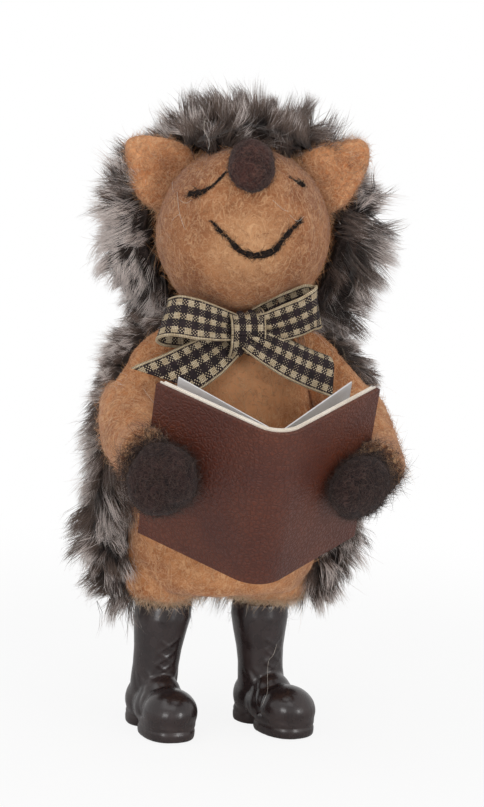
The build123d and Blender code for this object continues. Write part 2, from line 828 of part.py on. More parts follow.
def bow_loop(side, lift, hollow=True):
    """A loop of ribbon that stands out from the knot, or the space that it takes."""
    out = Vector(side * cos(radians(lift)), 0, sin(radians(lift)))
    width_way = Vector(-side * sin(radians(lift)), 0, cos(radians(lift)))
    root = ribbon_thick * 2
    with BuildPart() as loop:
        base = Plane(origin=knot_plane.origin, x_dir=out, z_dir=width_way).offset(-ribbon_wide / 2)
        with BuildSketch(base):
            with BuildLine():
                turn = loop_long - loop_end
                belly = loop_long * loop_belly_share
                ThreePointArc((0, root), (belly, loop_half_deep), (turn, loop_end))
                ThreePointArc((turn, loop_end), (loop_long, 0), (turn, -loop_end))
                ThreePointArc((turn, -loop_end), (belly, -loop_half_deep), (0, -root))
                Line((0, -root), (0, root))
            make_face()
            if hollow:
                offset(amount=-ribbon_thick, mode=Mode.SUBTRACT)
        extrude(amount=ribbon_wide)
        add([knot_form, head_form, body_form], mode=Mode.SUBTRACT)
    return loop.part


def bow_tail(side, long, drop, slant):
    """A flat end of ribbon that runs down from the knot, cut at a slant."""
    way = Vector(side * cos(radians(drop)), 0, -sin(radians(drop)))
    with BuildPart() as tail:
        with BuildSketch(Plane(origin=knot_plane.origin, x_dir=way, z_dir=(0, -1, 0)).offset(tail_front)):
            with BuildLine():
                half = ribbon_wide / 2
                gather = half * tail_gather_share
                Polyline(
                    (0, -gather), (long + side * slant, -half), (long - side * slant, half), (0, gather),
                    close=True,
                )
            make_face()
        extrude(amount=ribbon_thick)
        add([knot_form, head_form, body_form], mode=Mode.SUBTRACT)
    return tail.part


with BuildPart() as bow_right_loop:
    add(bow_loop(-1, right_loop_lift))
bow_right_loop.part.label = "bow_right_loop"

with BuildPart() as bow_left_loop:
    add(bow_loop(1, left_loop_lift))
bow_left_loop.part.label = "bow_left_loop"

with BuildPart() as bow_right_tail:
    add(bow_tail(-1, right_tail_long, right_tail_drop, tail_slant))
    add([bow_loop(-1, right_loop_lift, hollow=False), right_arm.part], mode=Mode.SUBTRACT)
bow_right_tail.part.label = "bow_right_tail"

with BuildPart() as bow_left_tail:
    add(bow_tail(1, left_tail_long, left_tail_drop, tail_slant))
    add([bow_loop(1, left_loop_lift, hollow=False), left_arm.part], mode=Mode.SUBTRACT)
bow_left_tail.part.label = "bow_left_tail"

export_step(right_boot.part, "parts/right_boot.step")
export_step(left_boot.part, "parts/left_boot.step")
export_step(right_leg_pin.part, "parts/right_leg_pin.step")
export_step(left_leg_pin.part, "parts/left_leg_pin.step")
export_step(right_thigh.part, "parts/right_thigh.step")
export_step(left_thigh.part, "parts/left_thigh.step")
export_step(body_core.part, "parts/body_core.step")
export_step(body_felt.part, "parts/body_felt.step")
export_step(neck_dowel.part, "parts/neck_dowel.step")
export_step(head_core.part, "parts/head_core.step")
export_step(head_felt.part, "parts/head_felt.step")
export_step(right_ear.part, "parts/right_ear.step")
export_step(left_ear.part, "parts/left_ear.step")
export_step(nose.part, "parts/nose.step")
export_step(right_eye_stitch.part, "parts/right_eye_stitch.step")
export_step(left_eye_stitch.part, "parts/left_eye_stitch.step")
export_step(mouth_stitch.part, "parts/mouth_stitch.step")
export_step(fur_hood.part, "parts/fur_hood.step")
export_step(fur_coat.part, "parts/fur_coat.step")
export_step(right_arm.part, "parts/right_arm.step")
export_step(left_arm.part, "parts/left_arm.step")
export_step(right_arm_wire.part, "parts/right_arm_wire.step")
export_step(left_arm_wire.part, "parts/left_arm_wire.step")
export_step(right_paw.part, "parts/right_paw.step")
export_step(left_paw.part, "parts/left_paw.step")
export_step(bow_knot.part, "parts/bow_knot.step")
export_step(bow_right_loop.part, "parts/bow_right_loop.step")
export_step(bow_left_loop.part, "parts/bow_left_loop.step")
export_step(bow_right_tail.part, "parts/bow_right_tail.step")
export_step(bow_left_tail.part, "parts/bow_left_tail.step")
export_step(book_cover.part, "parts/book_cover.step")
export_step(book_endpaper.part, "parts/book_endpaper.step")
export_step(book_sheet.part, "parts/book_sheet.step")
export_step(left_page.part, "parts/left_page.step")
export_step(right_page.part, "parts/right_page.step")
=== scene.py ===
# %% [markdown]
# # A felt hedgehog that reads a book
#
# The real figure is needle-felted wool on sticks, in two moulded boots. It has a hood and a coat of
# fur cloth, a ribbon bow and a little bound book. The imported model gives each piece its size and
# its place. This lesson dresses the pieces one after another, in the same frame and in metres.

import math

import bpy
import numpy as np
from mathutils import Matrix, Quaternion, Vector, noise
from mathutils.bvhtree import BVHTree
from mathutils.kdtree import KDTree


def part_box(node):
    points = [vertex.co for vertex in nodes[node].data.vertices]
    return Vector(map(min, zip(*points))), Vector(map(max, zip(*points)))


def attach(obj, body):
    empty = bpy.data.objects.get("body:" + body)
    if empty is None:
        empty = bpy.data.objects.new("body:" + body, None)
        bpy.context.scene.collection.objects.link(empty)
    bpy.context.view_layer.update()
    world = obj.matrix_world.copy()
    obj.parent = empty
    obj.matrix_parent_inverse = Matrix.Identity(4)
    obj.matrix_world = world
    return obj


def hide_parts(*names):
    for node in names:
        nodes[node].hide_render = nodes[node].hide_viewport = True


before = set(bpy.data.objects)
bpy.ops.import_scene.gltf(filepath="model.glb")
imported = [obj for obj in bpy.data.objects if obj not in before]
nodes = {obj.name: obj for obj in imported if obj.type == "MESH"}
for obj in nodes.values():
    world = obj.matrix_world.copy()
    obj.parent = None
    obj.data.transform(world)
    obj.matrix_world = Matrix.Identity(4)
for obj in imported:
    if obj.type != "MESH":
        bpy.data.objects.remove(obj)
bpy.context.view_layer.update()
scene = bpy.context.scene

# %% [markdown]
# ## Where things are
#
# The legs' sticks stand 4.2 mm behind the middle of the figure's stance, so their box gives that
# middle. Every place below is then said as a maker would: so far aside, so far back, so high.

# %% Places in millimetres
mm = 0.001
stick_low, stick_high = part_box("right_leg_pin")
stance_y = (stick_low.y + stick_high.y) / 2 - 4.2 * mm


def spot(aside, back, rise):
    """A point beside, behind and above the middle of the stance, from millimetres."""
    return Vector((aside * mm, stance_y + back * mm, rise * mm))


def right_and_front(degrees):
    """The two level ways of something that is turned on the spot."""
    turn = math.radians(degrees)
    return Vector((math.cos(turn), math.sin(turn), 0)), Vector((math.sin(turn), -math.cos(turn), 0))


head_middle = spot(0, -3.5, 106.62)
head_right, head_front = right_and_front(-11)
upright = Vector((0, 0, 1))
print("middle of the stance:", round(1000 * stance_y, 2), "mm behind the origin")

# %% [markdown]
# ## The camera
#
# The photograph looks at the figure a little from its right and from above, with a long lens, and
# is rolled a little. A camera is a frame of three directions, so those are worked out first.

# %% Camera
view_turn, view_rise, view_roll = math.radians(-15), math.radians(9), math.radians(2.5)
view_distance = 0.6
picture_tall, focal_pixels, shift_pixels = 807, 2857, (11.1, 1.7)
sensor = 36
look_at = spot(0, 0, 70)

toward_camera = Vector((
    math.sin(view_turn) * math.cos(view_rise), -math.cos(view_turn) * math.cos(view_rise), math.sin(view_rise),
))
level_right = Vector((math.cos(view_turn), math.sin(view_turn), 0))
level_up = toward_camera.cross(level_right)
rolled_right = level_right * math.cos(view_roll) + level_up * math.sin(view_roll)
rolled_up = level_up * math.cos(view_roll) - level_right * math.sin(view_roll)

camera_data = bpy.data.cameras.new("studio_camera")
camera_data.sensor_width = sensor
camera_data.lens = sensor * focal_pixels / picture_tall
camera_data.shift_x, camera_data.shift_y = (shift / picture_tall for shift in shift_pixels)
camera_data.clip_start, camera_data.clip_end = 0.01, 20
camera = bpy.data.objects.new("studio_camera", camera_data)
scene.collection.objects.link(camera)
turned = Matrix((rolled_right, rolled_up, toward_camera)).transposed()
camera.matrix_world = Matrix.Translation(look_at + toward_camera * view_distance) @ turned.to_4x4()
scene.camera = camera
scene.view_settings.view_transform = "Standard"
print("lens in mm:", round(camera_data.lens, 1))

# %% [markdown]
# ## Finishes
#
# Finishes are made of shader nodes. So that sums read as sums, a small class wraps one output of a
# node and gives it the usual signs, and each other node comes from one method.

# %% Shader maths
class Socket:
    """One output of a node. Sums on it add Math nodes."""

    def __init__(self, finish, output):
        self.finish, self.output = finish, output

    def maths(self, operation, *values, clamp=False):
        return self.finish.node("Math", dict(enumerate(values)), operation=operation, use_clamp=clamp)

    def __add__(self, other):
        return self.maths("ADD", self, other)

    def __radd__(self, other):
        return self.maths("ADD", other, self)

    def __sub__(self, other):
        return self.maths("SUBTRACT", self, other)

    def __rsub__(self, other):
        return self.maths("SUBTRACT", other, self)

    def __mul__(self, other):
        return self.maths("MULTIPLY", self, other)

    def __rmul__(self, other):
        return self.maths("MULTIPLY", other, self)

    def __truediv__(self, other):
        return self.maths("DIVIDE", self, other)

    def __mod__(self, other):
        return self.maths("FLOORED_MODULO", self, other)

    def __lt__(self, other):
        return self.maths("LESS_THAN", self, other)

    def __gt__(self, other):
        return self.maths("GREATER_THAN", self, other)

    def whole(self):
        return self.maths("FLOOR", self)

    def size(self):
        return self.maths("ABSOLUTE", self)

    def wave(self):
        return self.maths("SINE", self)

    def held(self):
        """Kept from 0 to 1."""
        return self.maths("ADD", self, 0, clamp=True)

    def between(self, low, high):
        """0 below low, 1 above high and smooth in between."""
        return self.finish.node("MapRange", {0: self, 1: low, 2: high}, interpolation_type="SMOOTHSTEP")


def dye(red, green, blue):
    """A colour as a paint chart gives it, from 0 to 255, turned into light."""
    share = [value / 255 for value in (red, green, blue)]
    light = [v / 12.92 if v <= 0.04045 else ((v + 0.055) / 1.055) ** 2.4 for v in share]
    return (*light, 1.0)


class Finish:
    """A material, or the studio's surround, in the making."""

    def __init__(self, name, made=None):
        self.made = made or bpy.data.materials.new(name)
        self.made.use_nodes = True
        self.tree = self.made.node_tree
        self.tree.nodes.clear()

    def node(self, kind, sockets={}, out=0, **settings):
        made = self.tree.nodes.new("ShaderNode" + kind)
        for key, value in settings.items():
            setattr(made, key, value)
        for key, value in sockets.items():
            if isinstance(value, Socket):
                self.tree.links.new(value.output, made.inputs[key])
            else:
                made.inputs[key].default_value = value
        return Socket(self, made.outputs[out]) if len(made.outputs) else made

    def place(self):
        """Where a point of the piece is, in metres."""
        return self.node("TexCoord", out="Object")

    def map_place(self, name):
        """A point's place on one of the mesh's own maps, as its two numbers."""
        on_map = self.node("UVMap", uv_map=name)
        return [self.node("SeparateXYZ", {0: on_map}, axis) for axis in (0, 1)]

    def grain(self, scale, detail=3.0, rough=0.55, swirl=0.0, place=None, out=0):
        """Noise with so many waves to the metre."""
        values = {"Scale": scale, "Detail": detail, "Roughness": rough, "Distortion": swirl}
        return self.node("TexNoise", {"Vector": place or self.place(), **values}, out)

    def cells(self, scale, feature="F1", place=None):
        return self.node("TexVoronoi", {"Vector": place or self.place(), "Scale": scale}, "Distance", feature=feature)

    def stretched(self, *scale):
        """Places stretched along the axes, for grain that runs one way."""
        return self.node("Mapping", {"Vector": self.place(), "Scale": scale})

    def fibres(self, scale, wide, swirl=1.8, place=None):
        """Thin wandering lines, where a swirled noise passes through its middle."""
        swirled = self.grain(scale, detail=2.0, rough=0.5, swirl=swirl, place=place)
        return 1 - (swirled - 0.5).size().between(wide * 0.35, wide)

    def near(self, middle, inside, outside):
        """1 within some millimetres of a place and 0 beyond some more."""
        apart = self.node("VectorMath", {0: self.place(), 1: middle}, "Value", operation="DISTANCE")
        return 1 - apart.between(inside * mm, outside * mm)

    def mix(self, share, first, second):
        """One colour over another. Each is a socket, or a dye's red, green and blue."""
        first, second = (dye(*colour) if isinstance(colour, tuple) else colour for colour in (first, second))
        return self.node("Mix", {0: share, 6: first, 7: second}, 2, data_type="RGBA")

    def bump(self, height, deep, strength):
        return self.node("Bump", {"Height": height, "Distance": deep, "Strength": strength})

    def done(self, base, **sockets):
        """Ends the material in a Principled shader with these values and links."""
        values = {"Base Color": base, **{key.replace("_", " "): value for key, value in sockets.items()}}
        self.node("OutputMaterial", {"Surface": self.node("BsdfPrincipled", values)})
        return self.made


print("shader helpers ready")

# %% [markdown]
# ## The studio
#
# A plain pale floor, a white surround, one wide soft lamp overhead and two smaller ones in front.
# The surround is white only to the camera and in reflections: what lights the figure stays plain.

# %% World
surround = Finish("studio", bpy.data.worlds.new("studio"))
scene.world = surround.made
seen = surround.node("LightPath", out="Is Camera Ray")
for other_way in ("Is Glossy Ray", "Is Transmission Ray"):
    seen = seen.maths("MAXIMUM", seen, surround.node("LightPath", out=other_way))
fill, white = (surround.node("Background", {"Color": (1, 1, 1, 1), "Strength": power}) for power in (0.5, 1.0))
chosen = surround.node("MixShader", {0: seen, 1: fill, 2: white})
surround.node("OutputWorld", {"Surface": chosen})
print("surround ready")

# %% Lamps


def lamp(name, from_chest, wide, tall, power):
    """A soft rectangular lamp that points at the chest."""
    data = bpy.data.lights.new(name, "AREA")
    data.shape = "RECTANGLE"
    data.size, data.size_y, data.energy = wide, tall, power
    made = bpy.data.objects.new(name, data)
    made.location = place = chest + Vector(from_chest)
    made.rotation_mode = "QUATERNION"
    made.rotation_quaternion = (chest - place).to_track_quat("-Z", "Y")
    scene.collection.objects.link(made)


chest = spot(0, 0, 70)
lamp("overhead_lamp", (-0.12, -0.22, 0.5), 0.6, 0.5, 1.1)
lamp("front_left_lamp", (-0.42, -0.55, 0.05), 0.16, 0.22, 0.9)
lamp("front_right_lamp", (0.34, -0.6, 0.02), 0.16, 0.22, 1.1)

# %% Floor
paper_floor = Finish("pale_floor")
from_middle = paper_floor.node("VectorMath", {0: paper_floor.place()}, "Value", operation="LENGTH")
far = from_middle.between(0.10, 0.24)
is_seen = paper_floor.node("LightPath", out="Is Camera Ray")
board = paper_floor.node("BsdfDiffuse", {"Color": (0.94, 0.94, 0.94, 1)})
glow = paper_floor.node("Emission", {"Color": (1, 1, 1, 1), "Strength": 1.0})
lit = paper_floor.node("MixShader", {0: is_seen * (0.88 + far * 0.12), 1: board, 2: glow})
paper_floor.node("OutputMaterial", {"Surface": lit})

floor_mesh = bpy.data.meshes.new("floor")
floor_radius, floor_corners = 1.6, 64
turns = np.linspace(0, math.tau, floor_corners + 1)[:-1]
rim = [(floor_radius * math.cos(a), floor_radius * math.sin(a), 0) for a in turns]
floor_mesh.from_pydata(rim, [], [list(range(floor_corners))])
floor_mesh.materials.append(paper_floor.made)
floor = bpy.data.objects.new("floor", floor_mesh)
floor.location.z = -0.2 * mm
scene.collection.objects.link(floor)
print("floor ready")

# %% [markdown]
# ## Meshes from numbers
#
# Fur and fuzz are hundreds of thousands of thin closed spikes, so their meshes are filled from
# arrays at once. Each keeps a small map for its finish: across it the dye, along it root to tip.

# %% Spikes
dye_columns = 64


def shown(name, mesh, finish, slot, *packed_ones, fill=None):
    """Puts a mesh in the scene as a piece of the figure, maybe in place of packed ones. fill is not used."""
    piece = bpy.data.objects.new(name, mesh)
    mesh.materials.clear()
    mesh.materials.append(finish)
    scene.collection.objects.link(piece)
    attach(piece, "figure")
    if packed_ones:
        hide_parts(*packed_ones)


def unit(vectors):
    return vectors / np.maximum(np.linalg.norm(vectors, axis=1, keepdims=True), 1e-12)


def any_way(dice, count):
    return unit(dice.normal(size=(count, 3)))


def smooth_faces(mesh, smooth=True):
    mesh.polygons.foreach_set("use_smooth", np.full(len(mesh.polygons), smooth))
    mesh.update(calc_edges=True)
    return mesh


def ring_faces(rows, columns):
    """So many rows of faces between rings of points."""
    faces = []
    for low in range(0, rows * columns, columns):
        for k in range(columns):
            after, high = (k + 1) % columns, low + columns
            faces.append([low + k, low + after, high + after, high + k])
    return faces


def spikes(name, lines, root_radius, column, tip_share=0.25):
    """Closed three-sided spikes along lines, given as (count, points, 3)."""
    count, rings = lines.shape[0], lines.shape[1] - 1
    run = unit(lines[:, -1] - lines[:, 0])
    aside = unit(np.cross(run, np.where(np.abs(run[:, 2:3]) < 0.9, [[0.0, 0.0, 1.0]], [[1.0, 0.0, 0.0]])))
    across = np.cross(run, aside)
    each = 3 * rings + 1
    points = np.zeros((count, each, 3))
    for ring in range(rings):
        radius = (root_radius * (1 - (1 - tip_share) * ring / rings))[:, None]
        for side in range(3):
            turn = math.tau * side / 3
            reach = aside * math.cos(turn) + across * math.sin(turn)
            points[:, 3 * ring + side] = lines[:, ring] + reach * radius
    points[:, -1] = lines[:, -1]
    last, rise = 3 * rings - 3, np.arange(rings) / rings
    tips = [[last + side, last + (side + 1) % 3, last + 3] for side in range(3)]
    faces = [[2, 1, 0], *ring_faces(rings - 1, 3), *tips]
    places = [(0.2, 0.0), (0.8, 0.0), (0.5, 0.02)]
    for low, high in zip(rise, rise[1:]):
        places += [(0.2, low), (0.8, low), (0.8, high), (0.2, high)] * 3
    places += [(0.2, rise[-1]), (0.8, rise[-1]), (0.5, 1.0)] * 3
    corners = np.array([corner for face in faces for corner in face])
    starts = np.cumsum([0] + [len(face) for face in faces[:-1]])
    shift = np.arange(count)[:, None]
    mesh = bpy.data.meshes.new(name)
    mesh.vertices.add(count * each)
    mesh.vertices.foreach_set("co", points.astype(np.float32).ravel())
    mesh.loops.add(count * len(corners))
    mesh.loops.foreach_set("vertex_index", (corners + shift * each).astype(np.int32).ravel())
    mesh.polygons.add(count * len(starts))
    mesh.polygons.foreach_set("loop_start", (starts + shift * len(corners)).astype(np.int32).ravel())
    on_map = np.tile(np.array(places), (count, 1, 1))
    on_map[:, :, 0] = (on_map[:, :, 0] + np.clip(column, 0, dye_columns - 1)[:, None]) / dye_columns
    on_map[:, :, 1] = 0.01 + 0.98 * on_map[:, :, 1]
    smooth_faces(mesh).uv_layers.new(name="OFBake").data.foreach_set("uv", on_map.astype(np.float32).ravel())
    return mesh


def smooth_line(points, steps):
    """So many points on a smooth curve through the given ones, evenly spread between them."""
    points = np.array(points, float)
    ends = np.vstack([2 * points[0] - points[1], points, 2 * points[-1] - points[-2]])
    at = np.linspace(0, len(points) - 1, steps)
    run = np.minimum(at.astype(int), len(points) - 2)
    t = (at - run)[:, None]
    a, b, c, d = (ends[run + k] for k in range(4))
    return 0.5 * (2 * b + (c - a) * t + (2 * a - 5 * b + 4 * c - d) * t**2 + (3 * b - a - 3 * c + d) * t**3)


print("spikes ready")

# %% Triangles and scattered points


def triangles(mesh):
    """The mesh's triangles as (count, 3 corners, 3) and their outward directions and areas."""
    mesh.calc_loop_triangles()
    points = np.zeros(len(mesh.vertices) * 3)
    mesh.vertices.foreach_get("co", points)
    index = np.zeros(len(mesh.loop_triangles) * 3, np.int32)
    mesh.loop_triangles.foreach_get("vertices", index)
    corners = points.reshape(-1, 3)[index.reshape(-1, 3)]
    normal = np.cross(corners[:, 1] - corners[:, 0], corners[:, 2] - corners[:, 0])
    area = np.linalg.norm(normal, axis=1)
    return corners, normal / np.maximum(area, 1e-15)[:, None], area / 2


def scattered(mesh, count, dice, wanted=None):
    """Evenly strewn points on a mesh and the way out at each. wanted thins them by place."""
    corners, normal, area = triangles(mesh)
    weight = area * (1 if wanted is None else wanted(corners.mean(1), normal))
    picked = dice.choice(len(area), count, p=weight / weight.sum())
    a, b = dice.random(count), dice.random(count)
    over = a + b > 1
    a[over], b[over] = 1 - a[over], 1 - b[over]
    c = corners[picked]
    return c[:, 0] + a[:, None] * (c[:, 1] - c[:, 0]) + b[:, None] * (c[:, 2] - c[:, 0]), normal[picked]


print("scatter ready")

# %% [markdown]
# ## Felt forms
#
# Needle felt is a firm lump with soft corners and no seams. Each form starts as a copy of its
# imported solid. Small voxels melt its edges, smoothing relaxes it, and two sizes of noise give the
# skin its lumps and needle dimples.

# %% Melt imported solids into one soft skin


def outer_shell(mesh):
    """Keeps the largest closed skin, and drops the skins of hollows inside."""
    edges = np.zeros(len(mesh.edges) * 2, np.int32)
    mesh.edges.foreach_get("vertices", edges)
    one, other = edges.reshape(-1, 2).T
    label = np.arange(len(mesh.vertices))
    before = None
    while before is None or (label != before).any():
        before = label.copy()
        low = np.minimum(label[one], label[other])
        np.minimum.at(label, one, low)
        np.minimum.at(label, other, low)
        label = label[label]
    names, counts = np.unique(label, return_counts=True)
    if len(names) == 1:
        return mesh
    kept = label == names[counts.argmax()]
    place = np.cumsum(kept) - 1
    points = np.array([v.co for v in mesh.vertices])[kept]
    faces = [[int(place[i]) for i in p.vertices] for p in mesh.polygons if kept[p.vertices[0]]]
    fresh = bpy.data.meshes.new(mesh.name)
    fresh.from_pydata(points.tolist(), [], faces)
    return fresh


def packed(node):
    """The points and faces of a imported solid."""
    mesh = nodes[node].data
    return [v.co.copy() for v in mesh.vertices], [list(p.vertices) for p in mesh.polygons]


def skin_tree(mesh):
    return BVHTree.FromPolygons([v.co for v in mesh.vertices], [p.vertices for p in mesh.polygons])


def joined(lots):
    """Several lots of points and faces as one."""
    points, faces = [], []
    for some_points, some_faces in lots:
        faces += [[len(points) + corner for corner in face] for face in some_faces]
        points += list(some_points)
    return points, faces


def joined_mesh(name, lots, smooth=True):
    points, faces = joined(lots)
    mesh = bpy.data.meshes.new(name)
    mesh.from_pydata(points, [], faces)
    return smooth_faces(mesh, smooth)


def melted(name, lots, voxel, relax):
    """The soft outside of several lots of points and faces, as one mesh."""
    holder = bpy.data.objects.new(name + "_rough", joined_mesh(name + "_rough", lots, smooth=False))
    scene.collection.objects.link(holder)
    voxels = holder.modifiers.new("voxels", "REMESH")
    voxels.mode, voxels.voxel_size = "VOXEL", voxel * mm
    soften = holder.modifiers.new("soften", "SMOOTH")
    soften.factor, soften.iterations = 0.5, relax
    graph = bpy.context.evaluated_depsgraph_get()
    mesh = bpy.data.meshes.new_from_object(holder.evaluated_get(graph))
    bpy.data.objects.remove(holder)
    mesh.name = name
    return outer_shell(mesh)


def moved_out(mesh, reach):
    """Moves each point along its normal by reach(point, normal) millimetres."""
    normals = [n.vector.copy() for n in mesh.vertex_normals]
    places = [v.co + normal * reach(v.co, normal) * mm for v, normal in zip(mesh.vertices, normals)]
    for vertex, place in zip(mesh.vertices, places):
        vertex.co = place
    return smooth_faces(mesh)


def felted(mesh, swell=0.15, lump=0.30, dimple=0.10, seed=0.0):
    """Lumps of about 5 mm and dimples of about 1 mm. swell is a number, or a sum done at each place."""
    apart = Vector((seed, seed * 1.7, -seed))

    def reach(place, _):
        broad = noise.noise(place * 190 + apart)
        fine = noise.noise(place * 900 + apart)
        return (swell(place) if callable(swell) else swell) + lump * broad + dimple * fine

    return moved_out(mesh, reach)


print("felt helpers ready")

# %% An egg of mesh, and two soft steps
def end_faces(rows, columns):
    """The first and the last ring, closed."""
    return [list(range(columns))[::-1], [rows * columns + k for k in range(columns)]]


def egg_lot(middle, ways, halves, rows=18, columns=28):
    """Points and faces of an egg, with its three half sizes in millimetres along three ways."""
    points = []
    for row in range(rows + 1):
        rise = math.pi * (row / rows - 0.5)
        for column in range(columns):
            turn = math.tau * column / columns
            share = (math.cos(rise) * math.cos(turn), math.cos(rise) * math.sin(turn), math.sin(rise))
            points.append(middle + sum((w * h * k * mm for w, h, k in zip(ways, halves, share)), Vector()))
    return points, ring_faces(rows, columns)


def stack_lot(middle, ways, rings, power, columns=36):
    """A closed stack of rings. Each ring has its height, its middle ahead and its two half sizes."""
    rounded = lambda value: math.copysign(abs(value) ** (2 / power), value)
    points = []
    for rise, ahead, long, wide in rings:
        for column in range(columns):
            turn = math.tau * column / columns
            along = rounded(math.cos(turn)) * long + ahead
            points.append(middle + (ways[0] * along + ways[1] * rounded(math.sin(turn)) * wide + ways[2] * rise) * mm)
    rows = len(rings) - 1
    return points, ring_faces(rows, columns) + end_faces(rows, columns)


def hill(value, middle, wide):
    return math.exp(-(((value - middle) / wide) ** 2))


def eased(value, low, high):
    share = min(max((value - low) / (high - low), 0), 1)
    return share * share * (3 - 2 * share)


print("egg ready")

# %% [markdown]
# ## The wool's colour
#
# Wool felt is never one colour: its tone varies at random, its pits are painted darker and redder as
# painted shade deep in the skin, and the loose fibres on top catch the light. Swirled noise stands for
# the tangle of fibres, and lifts the skin a little.

# %% Felt finishes


def felt_finish(name, deep, body, light, sheen=0.2, hang=0.5, tints_and_painted_light=()):
    """Wool felt: a mottled body colour, painted shade in the pits and a tangle of paler fibres that hang a little.

    Each tint, or patch of painted light or shade, is a place, how far it reaches in full and at all, a colour and how
    strong it is.
    """
    felt = Finish(name)
    mottle = felt.grain(170, detail=5, rough=0.62)
    hanging = felt.stretched(1, 1, hang)
    long_fibres = felt.fibres(360, 0.035, place=hanging)
    short_fibres = felt.fibres(760, 0.06, swirl=1.2)
    pits = felt.grain(620, detail=3, rough=0.6)
    colour = felt.mix(mottle.between(0.28, 0.70), deep, body)
    # Each patch is either the wool's own tint or painted light or shade, mixed in by place.
    for middle, inside, outside, tint, strength in tints_and_painted_light:
        ragged = felt.near(middle, inside, outside) * (0.55 + mottle * 0.9)
        colour = felt.mix((ragged * strength).held(), colour, tint)
    # Painted shade: the pits of the bump are darkened toward the deep colour.
    colour = felt.mix((1 - pits.between(0.30, 0.44)) * 0.42, colour, deep)
    colour = felt.mix(short_fibres * 0.30, colour, light)
    colour = felt.mix(long_fibres * 0.42, colour, light)
    height = pits * 0.5 + short_fibres * 0.22 + long_fibres * 0.4 + mottle * 0.3
    return felt.done(
        colour, Roughness=0.84 + pits * 0.14, Normal=felt.bump(height, 0.00045, 0.55),
        Sheen_Weight=sheen, Sheen_Roughness=0.5, Specular_IOR_Level=0.2,
    )


def wool_finish(name, deep, body, light, sheen=0.2):
    """Loose wool on a felt: dyed by the spike's column, lighter toward its tip."""
    wool = Finish(name)
    across, along = wool.map_place("OFBake")
    column = (across * dye_columns).whole() / dye_columns
    colour = wool.mix(column, deep, body)
    colour = wool.mix((along.between(0.2, 1.0) * column).held(), colour, light)
    return wool.done(colour, Roughness=0.8, Sheen_Weight=sheen, Specular_IOR_Level=0.25)


tan_dyes = (152, 94, 56), (194, 134, 88), (226, 180, 136)
dark_dyes = (23, 15, 16), (50, 33, 32), (92, 70, 64)
# The patch round the head's middle darkens the ear: painted shade where the ear meets the head.
ear_felt = felt_finish(
    "ear_felt", (178, 112, 68), (218, 156, 108), (236, 192, 148), hang=1.0,
    tints_and_painted_light=((head_middle, 19.0, 23.0, (140, 84, 50), 0.75),),
)
dark_felt = felt_finish("dark_felt", *dark_dyes, sheen=0.1, hang=1.0)
nose_felt = felt_finish("nose_felt", (34, 18, 17), (66, 38, 34), (108, 76, 66), sheen=0.1, hang=1.0)
tan_wool = wool_finish("tan_wool", (176, 116, 74), (212, 160, 114), (242, 214, 178))
loose_wool = wool_finish("loose_wool", (196, 184, 168), (222, 212, 198), (244, 238, 230))
pale_wool = wool_finish("pale_wool", (206, 164, 122), (230, 200, 164), (250, 238, 220))
face_wool = wool_finish("face_wool", (156, 98, 58), (198, 144, 98), (232, 194, 152), sheen=0.05)
dark_wool = wool_finish("dark_wool", (30, 20, 19), (66, 46, 40), (126, 102, 90), sheen=0.1)
print("felt finishes ready")

# %% [markdown]
# ## Fuzz
#
# What makes felt look like felt is the halo of fibres on it. Most lie nearly flat and curl, a few
# stand up. None may stand in the way of the book's two leaves, so those are turned through their
# whole range first, and a fibre that comes near them at any angle is left out.

# %% Where the leaves turn
book_tilt, book_turn = math.radians(25), math.radians(-4)
book_up = Vector((
    math.sin(book_tilt) * math.sin(book_turn), -math.sin(book_tilt) * math.cos(book_turn), math.cos(book_tilt),
))
book_fold = Vector((-1.644, -26.526, 56.264)) * mm


def leaf_sweep(node, low, high, angles=11):
    """A search tree of one leaf at several angles of its turn, in degrees."""
    leaf, sides = packed(node)
    lots = []
    for angle in np.linspace(low, high, angles):
        turn = Quaternion(book_up, math.radians(angle))
        lots.append(([book_fold + turn @ (point - book_fold) for point in leaf], sides))
    return BVHTree.FromPolygons(*joined(lots))


leaf_sweeps = leaf_sweep("left_page", -8, 9), leaf_sweep("right_page", -3, 8)
leaf_clear = 0.9 * mm


def in_the_way(lines):
    """Which lines of points come near a turning leaf."""
    near = [
        any(sweep.find_nearest(Vector(point), leaf_clear)[0] for sweep in leaf_sweeps) for point in lines.reshape(-1, 3)
    ]
    return np.array(near).reshape(lines.shape[:2]).any(1)


# %% Strew fuzz on a felt skin


def fuzz(name, mesh, count, finish, seed, long=1.5, thick=0.035, stand=0.35, wanted=None, hang=0.0, slot="felt"):
    """Loose fibres on a felt skin, as a piece of their own. Sizes are millimetres."""
    dice = np.random.default_rng(seed)
    root, out = scattered(mesh, count, dice, wanted)
    flat = any_way(dice, count)
    flat = unit(flat - out * (flat * out).sum(1, keepdims=True))
    flat = unit(flat + np.array([[0, 0, -hang]]))
    curl = np.cross(out, flat)
    reach = (long * mm * np.exp(0.35 * dice.normal(size=count)))[:, None]
    rise = np.clip(stand + 0.35 * dice.normal(size=count), 0.06, 1.3)[:, None]
    bend = dice.normal(size=count)[:, None] * 0.35
    lines = np.zeros((count, 4, 3))
    for step in range(4):
        s = step / 3
        away = rise * s * (1.15 - 0.45 * s)
        lines[:, step] = root - out * 0.12 * mm + reach * (flat * s + out * away + curl * bend * s * s)
    column = dice.integers(0, dye_columns, count)
    radius = thick * mm * (0.7 + 0.6 * dice.random(count))
    free = ~in_the_way(lines)
    shown(name, spikes(name, lines[free], radius[free], column[free]), finish, slot)


print("fuzz ready")

# %% [markdown]
# ## Body and stumps
#
# Body and both stumps of the legs are felted into one another, so their solids melt into one skin.

